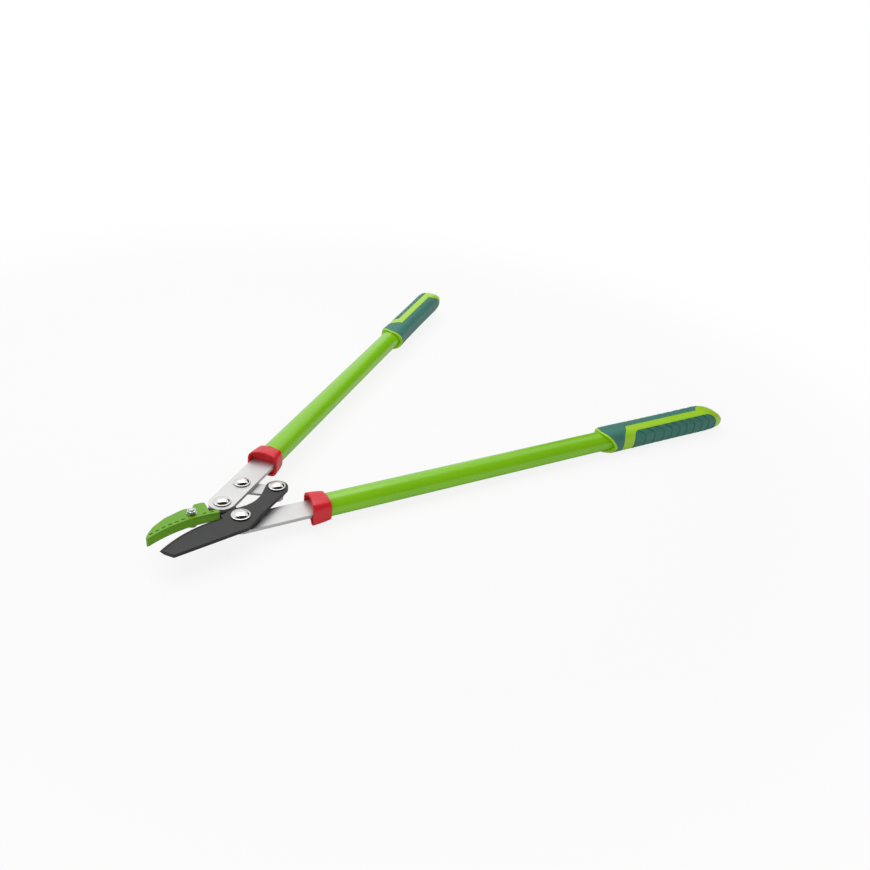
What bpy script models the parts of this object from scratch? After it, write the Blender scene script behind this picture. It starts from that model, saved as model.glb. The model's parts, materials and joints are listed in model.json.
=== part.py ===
"""Anvil lopper with a compound lever, built piece by piece in metres, +Z up.

The lower handle is the fixed one and lies along +X. The origin is on the axis of the blade pivot, at
the flat end of that bolt's tail. The jaws point to -X and the upper handle opens towards +Y.

A jaw plate is riveted to the lower handle's bar and carries the anvil. The upper handle turns on the
jaw plate. A short link joins it to the arm of the blade, so that the handle pulls the blade shut with
a longer lever than its own pivot gives. The open jaws hold a branch between the blade and the anvil.
"""

import math

import bmesh
import bpy
import numpy as np
from mathutils import Matrix, Vector

# Fits: the gap between pieces that touch, and the play of the link's eye on the blade's bolt
FIT = 0.0003
LINK_EYE_PLAY = 0.0019

# Linkage, seen from above with the blade pivot at (0, 0)
HANDLE_PIVOT = (-0.0090, 0.0273)
UPPER_HANDLE_ANGLE = 41.6
LEVER_LENGTH = 0.0375
ARM_PIVOT = (0.0484, 0.0331)
HANDLE_CLOSING_TRAVEL = 18.0
BLADE_TRAVEL_RATIO = 0.664

# Stack of plates on the blade pivot, from the tail of the bolt upwards
PIVOT_TAIL = 0.0006
PIVOT_NUT_HEIGHT = 0.0028
LOWER_BAR_THICKNESS = 0.0035
JAW_PLATE_THICKNESS = 0.0050
BLADE_THICKNESS = 0.0036
UPPER_BAR_THICKNESS = 0.0036
LINK_THICKNESS = 0.0025
LINK_WASHER_THICKNESS = 0.0005

# Fasteners
PIVOT_SHANK_RADIUS = 0.0050
PIVOT_HEAD_RADIUS = 0.00925
PIVOT_NUT_FLATS = 0.0140
BOLT_SHANK_RADIUS = 0.0040
BOLT_HEAD_RADIUS = 0.0085
BOLT_NUT_FLATS = 0.0130
BOLT_NUT_HEIGHT = 0.0075
BOLT_TAIL = 0.0010
HEAD_HEIGHT = 0.0040
LINK_RIVET_FOOT_RADIUS = 0.0065
LINK_RIVET_FOOT_HEIGHT = 0.0022
PLATE_RIVET_RADIUS = 0.0030
PLATE_RIVET_HEAD_RADIUS = 0.0040
PLATE_RIVET_HEAD_HEIGHT = 0.0012
PLATE_RIVET_PLACE = (0.0140, -0.0015)

# Bars and link
BAR_WIDTH = 0.0254
TANG_WIDTH = 0.0160
TANG_LENGTH = 0.0520
LINK_WIDTH = 0.0174

# Jaw plate
JAW_PLATE_HANDLE_RADIUS = 0.0120
JAW_PLATE_PIVOT_RADIUS = 0.0130
JAW_PLATE_RIVET_MARGIN = 0.0018
JAW_PLATE_WAIST = (0.0100, 0.0203)
JAW_PLATE_WAIST_RADIUS = 0.0080
JAW_PLATE_NECK = (-0.0150, -0.0023)
JAW_PLATE_HEEL_ANGLE = -6.4
JAW_PLATE_HEEL_MARGIN = 0.0008
TONGUE_NOSE_RADIUS = 0.0030
TONGUE_NOSE_ANGLE = 17.5
TONGUE_NOSE_DEPTH = 0.0095
TONGUE_SHOULDER_ANGLE = 2.0
TONGUE_SHOULDER_DEPTH = 0.0168

# Anvil: a folded sheet whose face is an arc, with angles from the +Y direction through its centre
ANVIL_CROWN = (-0.0284, 0.0092)
ANVIL_RADIUS = 0.1150
ANVIL_HEIGHT = 0.0090
ANVIL_SHEET = 0.0015
ANVIL_LIP = 0.0028
ANVIL_TIP_ANGLE = 30.5
ANVIL_TIP_ROUND = 0.0014
ANVIL_HEEL_DEPTH = 0.0050
ANVIL_TAB_ROUND = 0.0026
ANVIL_HEEL_ANGLE = -5.6
ANVIL_TAB_START = -1.4
ANVIL_TAB_END = 3.6
ANVIL_TAB_DEPTH = 0.0205
ANVIL_TAB_FOOT = 4.2
ANVIL_TAB_SLOPE = 1.2
ANVIL_TIP_MARGIN = 0.7
ANVIL_BACK_DEPTH = 0.0162
ANVIL_BACK_ARCS = (
    (8.0, 0.0172, 0.0090),
    (15.0, 0.0146, 0.0160),
    (21.0, 0.0108, 0.0140),
    (26.5, 0.0062, 0.0050),
)
ANVIL_END_WALL = 1.4
ANVIL_OPEN_PAST_HEEL = 2.0
ANVIL_SLOTS = 10
ANVIL_SLOT_PITCH = 3.27
ANVIL_SLOT_FIRST = 27.1
ANVIL_SLOT_DEPTH = 0.0029
ANVIL_SLOT_LENGTH = 0.0038
ANVIL_SLOT_WIDTH = 0.0014
ANVIL_SLOT_FREE_PITCHES = 1.2
ANVIL_SCREW_ANGLE = 6.0
ANVIL_SCREW_DEPTH = 0.0076
ANVIL_SCREW_RADIUS = 0.0025
ANVIL_SCREW_HEAD_RADIUS = 0.0045
ANVIL_SCREW_HEAD_HEIGHT = 0.0022
ANVIL_SCREW_TAIL = 0.00075
ANVIL_NUT_FLATS = 0.0080
ANVIL_NUT_HEIGHT = 0.0026
ANVIL_WASHER_RADIUS = 0.0050
ANVIL_WASHER_THICKNESS = 0.0006
ANVIL_SPACER_RADIUS = 0.0045

# Blade
BLADE_EYE_RADIUS = 0.0110
BLADE_BOSS_RADIUS = 0.0130
BLADE_GRIND = 0.0045
BLADE_BLANK_MARGIN = 0.0015
BLADE_NOSE = (-0.0706, -0.0318)
BLADE_NOSE_CORNER = 0.0020
BLADE_TIP_BLANK = (-0.0830, -0.0197)
BLADE_HEEL = (-0.0010, -0.0175)
BLADE_HEEL_RADIUS = 0.0035
BLADE_ARM_BEND = (0.0192, -0.0040)
BLADE_THROAT = (0.0030, 0.0472)
BLADE_THROAT_RADIUS = 0.0340
BLADE_SHOULDER = (-0.0165, 0.0070)

# Handle, measured along its axis from the front of the collar
LOWER_COLLAR_START = 0.0695
UPPER_COLLAR_START = 0.0800
COLLAR_LENGTH = 0.0180
COLLAR_HALF_WIDTH = 0.0160
COLLAR_HALF_HEIGHT = 0.0133
COLLAR_OUTER_REACH = 0.0030
COLLAR_BACK_STEP = 0.0020
COLLAR_ROUNDING = 0.0012
COLLAR_FRONT_WALL = 0.0050
COLLAR_POCKET_DEPTH = 0.0022
COLLAR_RIM = 0.0028
COLLAR_SQUARENESS = 3.6
TUBE_HALF_WIDTH = 0.0126
TUBE_HALF_HEIGHT = 0.0116
TUBE_WALL = 0.0015
TUBE_VISIBLE_LENGTH = 0.3620
TUBE_IN_GRIP = 0.1400
PLUG_LENGTH = 0.0600
TANG_PIN_RADIUS = 0.0020

# Grip, measured along it from its front
GRIP_LENGTH = 0.1980
GRIP_HALF_WIDTH = 0.0165
GRIP_HALF_HEIGHT = 0.0149
GRIP_FLARE = 0.0012
GRIP_WAIST = 0.0007
GRIP_SQUARENESS = 2.7
GRIP_NOSE_LENGTH = 0.0430
GRIP_NOSE_DROP = 0.0070
GRIP_NOSE_SQUARENESS = 2.3
GRIP_NOSE_TALL_SQUARENESS = 1.8
GRIP_NOSE_FLAT = 0.12
GRIP_NOSE_STOPS = (0.35, 0.62, 0.82, 0.94, 1.0)
FLANGE_LENGTH = 0.0030
SLEEVE_RING_END = 0.0275
SLEEVE_TO_NOSE = 0.0490
PAD_START = 0.0442
PAD_TO_NOSE = 0.0205
PANEL_DEPTH = 0.0020

# Lines round the grip: the hard stripe's half angle, and how far each grip's stripe is turned from
# straight up towards the inner side
STRIPE_HALF_ANGLE = 18.0
LOWER_GRIP_TURN = -25.0
UPPER_GRIP_TURN = 0.0

# Slants of the grip's lines: the mouth reaches forward near the stripes and on the inner side, the lines
# behind the ring lean forward on the outer side, and the sleeve's end leans back on the inner side
MOUTH_SET_BACK = 0.0013
MOUTH_LEAN = 0.0037
MOUTH_REACH = 0.0104
MOUTH_TURN = 10.0
RING_LEAN = 0.0092
RING_LEAN_FADE = 0.0420
RING_LEAN_FULL_ANGLE = 40.0
SLEEVE_END_LEAN = 0.0260
SLEEVE_END_LEAN_RUN = 0.0500

# Fineness of the meshes: degrees and length of a step on an arc, steps round circles and ovals, the
# angle that shows as an edge, the shortest edge of an outline and the distance that merges points
ARC_STEP = 12.0
LONGEST_CHORD = 0.009
ROUND_STEPS = 28
NUT_STEPS = 24
SMALL_ROUND_STEPS = 16
OVAL_STEPS = 40
COLLAR_STEPS = 36
GRIND_STEPS = 120
SHARP_ANGLE = 35.0
SHORTEST_EDGE = 0.0001
MERGE_DISTANCE = 0.000001

# Heights that follow from the stack
LOWER_BAR_BOTTOM = PIVOT_TAIL + PIVOT_NUT_HEIGHT + FIT
LOWER_BAR_TOP = LOWER_BAR_BOTTOM + LOWER_BAR_THICKNESS
JAW_PLATE_BOTTOM = LOWER_BAR_TOP + FIT
JAW_PLATE_TOP = JAW_PLATE_BOTTOM + JAW_PLATE_THICKNESS
BLADE_BOTTOM = JAW_PLATE_TOP + FIT
BLADE_TOP = BLADE_BOTTOM + BLADE_THICKNESS
BLADE_MIDDLE = (BLADE_BOTTOM + BLADE_TOP) / 2
UPPER_BAR_TOP = BLADE_BOTTOM + UPPER_BAR_THICKNESS
LINK_WASHER_BOTTOM = BLADE_BOTTOM - FIT - LINK_WASHER_THICKNESS
LINK_TOP = LINK_WASHER_BOTTOM - FIT
LINK_BOTTOM = LINK_TOP - LINK_THICKNESS
ANVIL_BOTTOM = BLADE_MIDDLE - ANVIL_HEIGHT / 2
ANVIL_TOP = ANVIL_BOTTOM + ANVIL_HEIGHT

# Ends of the grip's panels, from the grip's front
SLEEVE_END = GRIP_LENGTH - SLEEVE_TO_NOSE
PAD_END = GRIP_LENGTH - PAD_TO_NOSE

# Places that follow from the linkage and from the anvil's crown, where its face runs along X
ANVIL_CENTRE = (ANVIL_CROWN[0], ANVIL_CROWN[1] - ANVIL_RADIUS)
UPPER_TURN = math.radians(UPPER_HANDLE_ANGLE)
UPPER_DIRECTION = Vector((math.cos(UPPER_TURN), math.sin(UPPER_TURN)))
LINK_PIVOT = Vector(HANDLE_PIVOT) + LEVER_LENGTH * UPPER_DIRECTION
BLADE_CLOSING_TRAVEL = HANDLE_CLOSING_TRAVEL * BLADE_TRAVEL_RATIO


def empty_scene():
    """Remove every object that the scene holds."""
    for item in list(bpy.data.objects):
        bpy.data.objects.remove(item, do_unlink=True)


def new_collection(name):
    """Make a collection under the scene's own one."""
    group = bpy.data.collections.new(name)
    bpy.context.scene.collection.children.link(group)
    return group


def surface(name, colour, roughness, metallic):
    """A Principled material with a plain colour."""
    made = bpy.data.materials.new(name)
    made.use_nodes = True
    shader = made.node_tree.nodes["Principled BSDF"]
    shader.inputs["Base Color"].default_value = (*colour, 1.0)
    shader.inputs["Roughness"].default_value = roughness
    shader.inputs["Metallic"].default_value = metallic
    return made


empty_scene()
PARTS = new_collection("anvil_lopper")
CUTTERS = new_collection("cutters")


def pivot_empty(name, place, height, angle=0.0):
    """An empty on a joint's axis, which the pieces of one moving body hang on."""
    pivot = bpy.data.objects.new(name, None)
    pivot.empty_display_size = BAR_WIDTH
    pivot.location = (place[0], place[1], height)
    pivot.rotation_euler = (0.0, 0.0, math.radians(angle))
    PARTS.objects.link(pivot)
    return pivot


FRAME_ROOT = pivot_empty("lower_handle_axis", (0.0, 0.0), 0.0)
UPPER_ROOT = pivot_empty("upper_handle_axis", HANDLE_PIVOT, 0.0, UPPER_HANDLE_ANGLE)
BLADE_ROOT = pivot_empty("blade_axis", (0.0, 0.0), 0.0)
LINK_ROOT = pivot_empty("link_axis", LINK_PIVOT, 0.0)


def add_piece(name, mesh, look, parent):
    """Link a piece in the parts collection, under the empty of its body."""
    piece = bpy.data.objects.new(name, mesh)
    piece.parent = parent
    PARTS.objects.link(piece)
    mesh.materials.clear()
    mesh.materials.append(look)
    mesh.shade_smooth()
    mesh.set_sharp_from_angle(angle=math.radians(SHARP_ANGLE))
    return piece


def add_cutter(name, mesh, parent):
    """Link a cutter, which is never part of the object."""
    cutter = bpy.data.objects.new(name, mesh)
    cutter.parent = parent
    cutter.display_type = "WIRE"
    cutter.hide_render = True
    CUTTERS.objects.link(cutter)
    return cutter


def boolean(piece, cutter, operation="DIFFERENCE"):
    """Cut, join or intersect a piece with another object."""
    step = piece.modifiers.new(cutter.name, "BOOLEAN")
    step.operation = operation
    step.solver = "EXACT"
    step.object = cutter
    return step


def polar(angle, radius):
    """A point at an angle, in degrees to the left of +Y, about the anvil's centre."""
    turn = math.radians(angle)
    return (ANVIL_CENTRE[0] - radius * math.sin(turn), ANVIL_CENTRE[1] + radius * math.cos(turn))


ANVIL_SCREW_PLACE = polar(ANVIL_SCREW_ANGLE, ANVIL_RADIUS + ANVIL_SCREW_DEPTH)


def turned(point, angle):
    """A point turned about the blade pivot, in degrees."""
    spin = Matrix.Rotation(math.radians(angle), 2)
    return spin @ Vector(point)


def belt(stops):
    """Outline of a belt laid anticlockwise round circles (x, y, radius).

    A negative radius is a hollow stretch and a zero radius is a corner. Straight runs are tangents.
    """
    normals = []
    count = len(stops)
    for index, (x, y, radius) in enumerate(stops):
        next_x, next_y, next_radius = stops[(index + 1) % count]
        run = Vector((next_x - x, next_y - y))
        along = run.normalized()
        right = Vector((along.y, -along.x))
        cosine = max(-1.0, min(1.0, (radius - next_radius) / run.length))
        normals.append(cosine * along + math.sqrt(1.0 - cosine * cosine) * right)
    points = []
    for index, (x, y, radius) in enumerate(stops):
        if radius == 0.0:
            points.append((x, y))
            continue
        start = math.atan2(normals[index - 1].y, normals[index - 1].x)
        sweep = math.atan2(normals[index].y, normals[index].x) - start
        sweep %= math.tau
        if radius < 0.0:
            sweep -= math.tau
        arc_length = abs(sweep * radius)
        steps = max(1, math.ceil(max(abs(math.degrees(sweep)) / ARC_STEP, arc_length / LONGEST_CHORD)))
        for step in range(steps + 1):
            angle = start + sweep * step / steps
            points.append((x + radius * math.cos(angle), y + radius * math.sin(angle)))
    befores = points[-1:] + points
    return [point for point, before in zip(points, befores) if math.dist(point, before) > SHORTEST_EDGE]


def circle(x, y, radius, steps=ROUND_STEPS):
    """Outline of a round hole or disc."""
    turns = [math.tau * step / steps for step in range(steps)]
    return [(x + radius * math.cos(turn), y + radius * math.sin(turn)) for turn in turns]


def oval(half_width, half_height):
    """Outline of an ellipse about the origin."""
    turns = [math.tau * step / OVAL_STEPS for step in range(OVAL_STEPS)]
    return [(half_width * math.cos(turn), half_height * math.sin(turn)) for turn in turns]


def rectangle(half_width, half_height):
    """Outline of a rectangle about the origin."""
    return [
        (-half_width, -half_height),
        (half_width, -half_height),
        (half_width, half_height),
        (-half_width, half_height),
    ]


def flat_mesh(name, outlines, thickness):
    """A filled 2D curve, extruded by half its thickness each way and made a closed mesh."""
    curve = bpy.data.curves.new(name, "CURVE")
    curve.dimensions = "2D"
    curve.fill_mode = "BOTH"
    curve.extrude = thickness / 2
    for outline in outlines:
        spline = curve.splines.new("POLY")
        spline.points.add(len(outline) - 1)
        for point, (x, y) in zip(spline.points, outline):
            point.co = (x, y, 0.0, 1.0)
        spline.use_cyclic_u = True
    flat = bpy.data.objects.new(name, curve)
    PARTS.objects.link(flat)
    mesh = bpy.data.meshes.new_from_object(flat.evaluated_get(bpy.context.evaluated_depsgraph_get()))
    bpy.data.objects.remove(flat)
    bpy.data.curves.remove(curve)
    body = bmesh.new()
    body.from_mesh(mesh)
    bmesh.ops.remove_doubles(body, verts=body.verts, dist=MERGE_DISTANCE)
    bmesh.ops.recalc_face_normals(body, faces=body.faces)
    body.to_mesh(mesh)
    body.free()
    mesh.name = name
    return mesh


def plate(name, outlines, bottom, top, look, parent):
    """A flat piece between two heights, whose first outline is its edge and the others its holes."""
    piece = add_piece(name, flat_mesh(name, outlines, top - bottom), look, parent)
    piece.location.z = (bottom + top) / 2
    return piece


def plate_cutter(name, outlines, bottom, top, parent):
    """A flat cutter between two heights."""
    cutter = add_cutter(name, flat_mesh(name, outlines, top - bottom), parent)
    cutter.location.z = (bottom + top) / 2
    return cutter


def lay_along_handle(item, start, end, height):
    """Turn a flat shape so that its outline faces along the handle, between two stations."""
    item.rotation_euler = (math.pi / 2, 0.0, math.pi / 2)
    item.location = ((start + end) / 2, 0.0, height)
    return item


def turned_piece(name, profile, place, look, parent, steps=ROUND_STEPS):
    """A profile (radius, height), from the top down its outer side, turned about +Z."""
    mesh = bpy.data.meshes.new(name)
    points = [(radius, 0.0, height) for radius, height in profile]
    closed = profile[0][0] > 0.0
    edges = [(index, index + 1) for index in range(len(points) - 1)]
    if closed:
        edges.append((len(points) - 1, 0))
    mesh.from_pydata(points, edges, [])
    piece = add_piece(name, mesh, look, parent)
    piece.location = (place[0], place[1], 0.0)
    screw = piece.modifiers.new("turn", "SCREW")
    screw.axis = "Z"
    screw.steps = steps
    screw.render_steps = steps
    screw.use_merge_vertices = True
    screw.merge_threshold = MERGE_DISTANCE
    screw.use_smooth_shade = True
    return piece


def dome_profile(radius, height, seat):
    """Domed head with a thin flange, from its crown down to its seat."""
    flange = 0.22 * height
    bevel = 0.30 * height
    ledge = 0.36 * height
    shoulder = 0.84 * radius
    steps = 6
    turns = [math.pi / 2 * step / steps for step in range(steps + 1)]
    rise = height - ledge
    crown = [(shoulder * math.sin(turn), seat + ledge + rise * math.cos(turn)) for turn in turns]
    return crown + [(radius - flange / 2, seat + bevel), (radius, seat + flange), (radius, seat)]


def bolt(name, place, shank_radius, head_radius, seat, tail, look, parent):
    """A bolt with a domed head above its seat and a shank down to its tail."""
    chamfer = 0.15 * shank_radius
    profile = dome_profile(head_radius, HEAD_HEIGHT, seat) + [
        (shank_radius, seat),
        (shank_radius, tail + chamfer),
        (shank_radius - chamfer, tail),
        (0.0, tail),
    ]
    return turned_piece(name, profile, place, look, parent)


def nut(name, place, flats, height, shank_radius, bottom, collar_down, look, parent):
    """A hexagon nut whose collar points down or up, bored to pass its bolt."""
    top = bottom + height
    bore = shank_radius + FIT
    half = flats / 2
    corner = half / math.cos(math.pi / 6)
    collar = 0.86 * half
    hexagon_height = 0.72 * height
    fall = (corner - half) / 2
    if collar_down:
        waist = top - hexagon_height
        profile = [
            (bore, top),
            (half, top),
            (corner, top - fall),
            (corner, waist + fall),
            (half, waist),
            (collar, waist),
            (collar, bottom),
            (bore, bottom),
        ]
    else:
        waist = bottom + hexagon_height
        profile = [
            (bore, top),
            (collar, top),
            (collar, waist),
            (half, waist),
            (corner, waist - fall),
            (corner, bottom + fall),
            (half, bottom),
            (bore, bottom),
        ]
    piece = turned_piece(name, profile, place, look, parent, steps=NUT_STEPS)
    keep = plate_cutter(name + "_hexagon", [circle(0.0, 0.0, corner, 6)], bottom - FIT, top + FIT, parent)
    keep.location.x = place[0]
    keep.location.y = place[1]
    boolean(piece, keep, "INTERSECT")
    return piece


def washer(name, place, radius, shank_radius, bottom, thickness, look, parent):
    """A flat ring that passes its bolt."""
    rings = [circle(*place, radius), circle(*place, shank_radius + FIT)]
    return plate(name, rings, bottom, bottom + thickness, look, parent)


def squircle(half_width, half_height, squareness, angles):
    """Points of a superellipse at angles from +Z towards +Y, in radians."""
    wide = np.abs(np.sin(angles) / half_width) ** squareness
    tall = np.abs(np.cos(angles) / half_height) ** squareness
    reach = (wide + tall) ** (-1 / squareness)
    return reach * np.sin(angles), reach * np.cos(angles)


def ring_loft(name, rings):
    """A closed skin through rings of equal count, from the first, with both ends capped."""
    body = bmesh.new()
    rows = [[body.verts.new(point) for point in ring] for ring in rings]
    count = len(rows[0])
    for row, behind in zip(rows, rows[1:]):
        for index in range(count):
            after = (index + 1) % count
            body.faces.new((row[index], row[after], behind[after], behind[index]))
    body.faces.new(list(reversed(rows[0])))
    body.faces.new(rows[-1])
    bmesh.ops.recalc_face_normals(body, faces=body.faces)
    mesh = bpy.data.meshes.new(name)
    body.to_mesh(mesh)
    body.free()
    return mesh


# Looks
STEEL = surface("zinc_plated_steel", (0.60, 0.60, 0.61), 0.30, 1.0)
POLISHED = surface("polished_steel", (0.72, 0.72, 0.73), 0.12, 1.0)
BLACK_STEEL = surface("black_coated_steel", (0.07, 0.07, 0.07), 0.55, 0.2)
GREEN_SHEET = surface("green_painted_sheet", (0.20, 0.55, 0.03), 0.35, 0.0)
LIME_TUBE = surface("lime_lacquered_tube", (0.20, 0.56, 0.0), 0.22, 0.0)
RED_PLASTIC = surface("red_moulded_plastic", (0.75, 0.03, 0.05), 0.35, 0.0)
DARK_PLASTIC = surface("grey_moulded_plastic", (0.12, 0.12, 0.12), 0.6, 0.0)
LIME_PLASTIC = surface("lime_moulded_plastic", (0.28, 0.62, 0.02), 0.4, 0.0)
TEAL_RUBBER = surface("teal_soft_rubber", (0.02, 0.13, 0.11), 0.7, 0.0)


def bar(name, thickness, bottom, collar_start, holes, parent):
    """A flat bar with a round end on its pivot and a narrow tang that goes into the handle tube."""
    half = BAR_WIDTH / 2
    tang = TANG_WIDTH / 2
    shoulder = collar_start + COLLAR_FRONT_WALL - FIT
    end = shoulder + TANG_LENGTH
    outline = belt([
        (0.0, 0.0, half),
        (shoulder, -half, 0.0),
        (shoulder, -tang, 0.0),
        (end, -tang, 0.0),
        (end, tang, 0.0),
        (shoulder, tang, 0.0),
        (shoulder, half, 0.0),
    ])
    pin = circle(pin_station(collar_start), 0.0, TANG_PIN_RADIUS + FIT, SMALL_ROUND_STEPS)
    return plate(name, [outline, *holes, pin], bottom, bottom + thickness, STEEL, parent)


def pin_station(collar_start):
    """Station of the pin that holds the tang in the tube, in the middle of the collar's bore."""
    return collar_start + (COLLAR_FRONT_WALL + COLLAR_LENGTH) / 2


def collar(name, collar_start, height, bar_thickness, side, parent):
    """A moulded ring over the joint of bar and tube, longer on its outer side, with a slot for the bar."""
    angles = np.linspace(0.0, math.tau, COLLAR_STEPS, endpoint=False)
    half_width = COLLAR_HALF_WIDTH
    half_height = COLLAR_HALF_HEIGHT
    wide = COLLAR_BACK_STEP
    tall = COLLAR_BACK_STEP / 2
    rounding = COLLAR_ROUNDING
    stations = [
        (0.0, half_width - rounding, half_height - rounding),
        (rounding, half_width, half_height),
        (0.55 * COLLAR_LENGTH, half_width - 0.25 * wide, half_height - 0.25 * tall),
        (COLLAR_LENGTH - rounding, half_width - 0.8 * wide, half_height - 0.8 * tall),
        (COLLAR_LENGTH, half_width - wide - rounding / 2, half_height - tall - rounding / 2),
    ]
    rings = []
    for station, ring_width, ring_height in stations:
        across, up = squircle(ring_width, ring_height, COLLAR_SQUARENESS, angles)
        lean = COLLAR_OUTER_REACH * (1.0 - station / COLLAR_LENGTH) / 2
        forward = [lean * (1.0 - side * y / half_width) for y in across]
        rings.append([(collar_start + station - x, y, height + z) for x, y, z in zip(forward, across, up)])
    piece = add_piece(name, ring_loft(name, rings), RED_PLASTIC, parent)

    front = collar_start - FIT
    across, up = squircle(half_width - COLLAR_RIM, half_height - COLLAR_RIM, COLLAR_SQUARENESS, angles)
    depth = COLLAR_POCKET_DEPTH + COLLAR_OUTER_REACH + FIT
    pocket = add_cutter(name + "_pocket", flat_mesh(name + "_pocket", [list(zip(across, up))], depth), parent)
    lay_along_handle(pocket, front - COLLAR_OUTER_REACH, collar_start + COLLAR_POCKET_DEPTH, height)
    boolean(piece, pocket)

    inner_face = collar_start + COLLAR_FRONT_WALL
    opening = rectangle(BAR_WIDTH / 2 + FIT, bar_thickness / 2 + FIT)
    slot_mesh = flat_mesh(name + "_slot", [opening], COLLAR_FRONT_WALL + 2 * FIT)
    slot = add_cutter(name + "_slot", slot_mesh, parent)
    lay_along_handle(slot, front, inner_face + FIT, height)
    boolean(piece, slot)

    depth = COLLAR_LENGTH - COLLAR_FRONT_WALL + FIT
    round_hole = oval(TUBE_HALF_WIDTH + FIT, TUBE_HALF_HEIGHT + FIT)
    bore = add_cutter(name + "_bore", flat_mesh(name + "_bore", [round_hole], depth), parent)
    lay_along_handle(bore, inner_face, inner_face + depth, height)
    boolean(piece, bore)
    return piece


def pin_hole(name, collar_start, height, parent):
    """Cutter for the pin's hole through tube and plug."""
    reach = 2 * TUBE_HALF_HEIGHT
    hole = circle(pin_station(collar_start), 0.0, TANG_PIN_RADIUS + FIT, SMALL_ROUND_STEPS)
    return plate_cutter(name, [hole], height - reach, height + reach, parent)


def tube_and_plug(prefix, collar_start, height, bar_thickness, parent):
    """The oval tube, the plug inside its mouth and the pin that holds the bar's tang."""
    start = collar_start + COLLAR_FRONT_WALL + FIT
    end = grip_start(collar_start) + TUBE_IN_GRIP
    inner_width = TUBE_HALF_WIDTH - TUBE_WALL
    inner_height = TUBE_HALF_HEIGHT - TUBE_WALL
    skin = [oval(TUBE_HALF_WIDTH, TUBE_HALF_HEIGHT), oval(inner_width, inner_height)]
    tube = add_piece(prefix + "_tube", flat_mesh(prefix + "_tube", skin, end - start), LIME_TUBE, parent)
    lay_along_handle(tube, start, end, height)
    hole = pin_hole(prefix + "_pin_hole", collar_start, height, parent)
    boolean(tube, hole)

    socket = rectangle(TANG_WIDTH / 2 + FIT, bar_thickness / 2 + FIT)
    ring = [oval(inner_width - FIT, inner_height - FIT), socket]
    plug_mesh = flat_mesh(prefix + "_tube_plug", ring, PLUG_LENGTH)
    plug = add_piece(prefix + "_tube_plug", plug_mesh, DARK_PLASTIC, parent)
    lay_along_handle(plug, start, start + PLUG_LENGTH, height)
    boolean(plug, hole)

    reach = TUBE_HALF_HEIGHT - FIT
    profile = [
        (0.0, height + reach),
        (TANG_PIN_RADIUS, height + reach),
        (TANG_PIN_RADIUS, height - reach),
        (0.0, height - reach),
    ]
    place = (pin_station(collar_start), 0.0)
    turned_piece(prefix + "_tang_pin", profile, place, STEEL, parent, steps=SMALL_ROUND_STEPS)


def grip_start(collar_start):
    """Station where the grip begins."""
    return collar_start + COLLAR_LENGTH + TUBE_VISIBLE_LENGTH


def nose_closing(share, squareness):
    """Share of the full size that the grip's section has at a share of the nose's length."""
    rounding = np.maximum(0.0, 1.0 - share ** squareness) ** (1 / squareness)
    return GRIP_NOSE_FLAT + (1.0 - GRIP_NOSE_FLAT) * rounding


def grip_section(place):
    """Half width, half height and drop of the grip's outer skin at places along it from its front."""
    nose_start = GRIP_LENGTH - GRIP_NOSE_LENGTH
    share = np.maximum(0.0, (place - nose_start) / GRIP_NOSE_LENGTH)
    flare = GRIP_FLARE * np.maximum(0.0, 1.0 - place / SLEEVE_RING_END) ** 2
    waist = GRIP_WAIST * np.sin(math.pi * np.minimum(1.0, place / nose_start))
    width = (GRIP_HALF_WIDTH - waist + flare) * nose_closing(share, GRIP_NOSE_SQUARENESS)
    tall = (GRIP_HALF_HEIGHT - flare) * nose_closing(share, GRIP_NOSE_TALL_SQUARENESS)
    return width, tall, GRIP_NOSE_DROP * share ** 2


def inner_side_angle(angles):
    """How far angles from the stripe's middle lie towards the grip's inner side."""
    return np.degrees(np.arcsin(np.sin(np.radians(angles))))


def front_lean(station, angles):
    """How far the grip's lines near its mouth and its ring are moved along it."""
    span = STRIPE_HALF_ANGLE + RING_LEAN_FULL_ANGLE
    share = np.clip((STRIPE_HALF_ANGLE - inner_side_angle(angles)) / span, 0.0, 1.0)
    outer_share = share * share * (3.0 - 2.0 * share)
    reach = MOUTH_REACH * np.abs(np.cos(np.radians(angles - MOUTH_TURN)))
    mouth = MOUTH_SET_BACK - MOUTH_LEAN * np.sin(np.radians(angles)) - reach
    mouth_fade = np.interp(station, (FLANGE_LENGTH, SLEEVE_RING_END), (1.0, 0.0))
    ring_stops = (FLANGE_LENGTH, SLEEVE_RING_END, PAD_START, PAD_START + RING_LEAN_FADE)
    ring = np.interp(station, ring_stops, (0.0, RING_LEAN, RING_LEAN, 0.0))
    return mouth_fade * mouth - ring * outer_share


def end_lean(station, angles):
    """How far the grip's lines near the sleeve's end are moved along it."""
    span = 90.0 - STRIPE_HALF_ANGLE
    inner_share = np.clip((inner_side_angle(angles) - STRIPE_HALF_ANGLE) / span, 0.0, 1.0)
    stops = (SLEEVE_END - SLEEVE_END_LEAN_RUN, SLEEVE_END, GRIP_LENGTH)
    return np.interp(station, stops, (0.0, SLEEVE_END_LEAN, 0.0)) * inner_share


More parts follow.
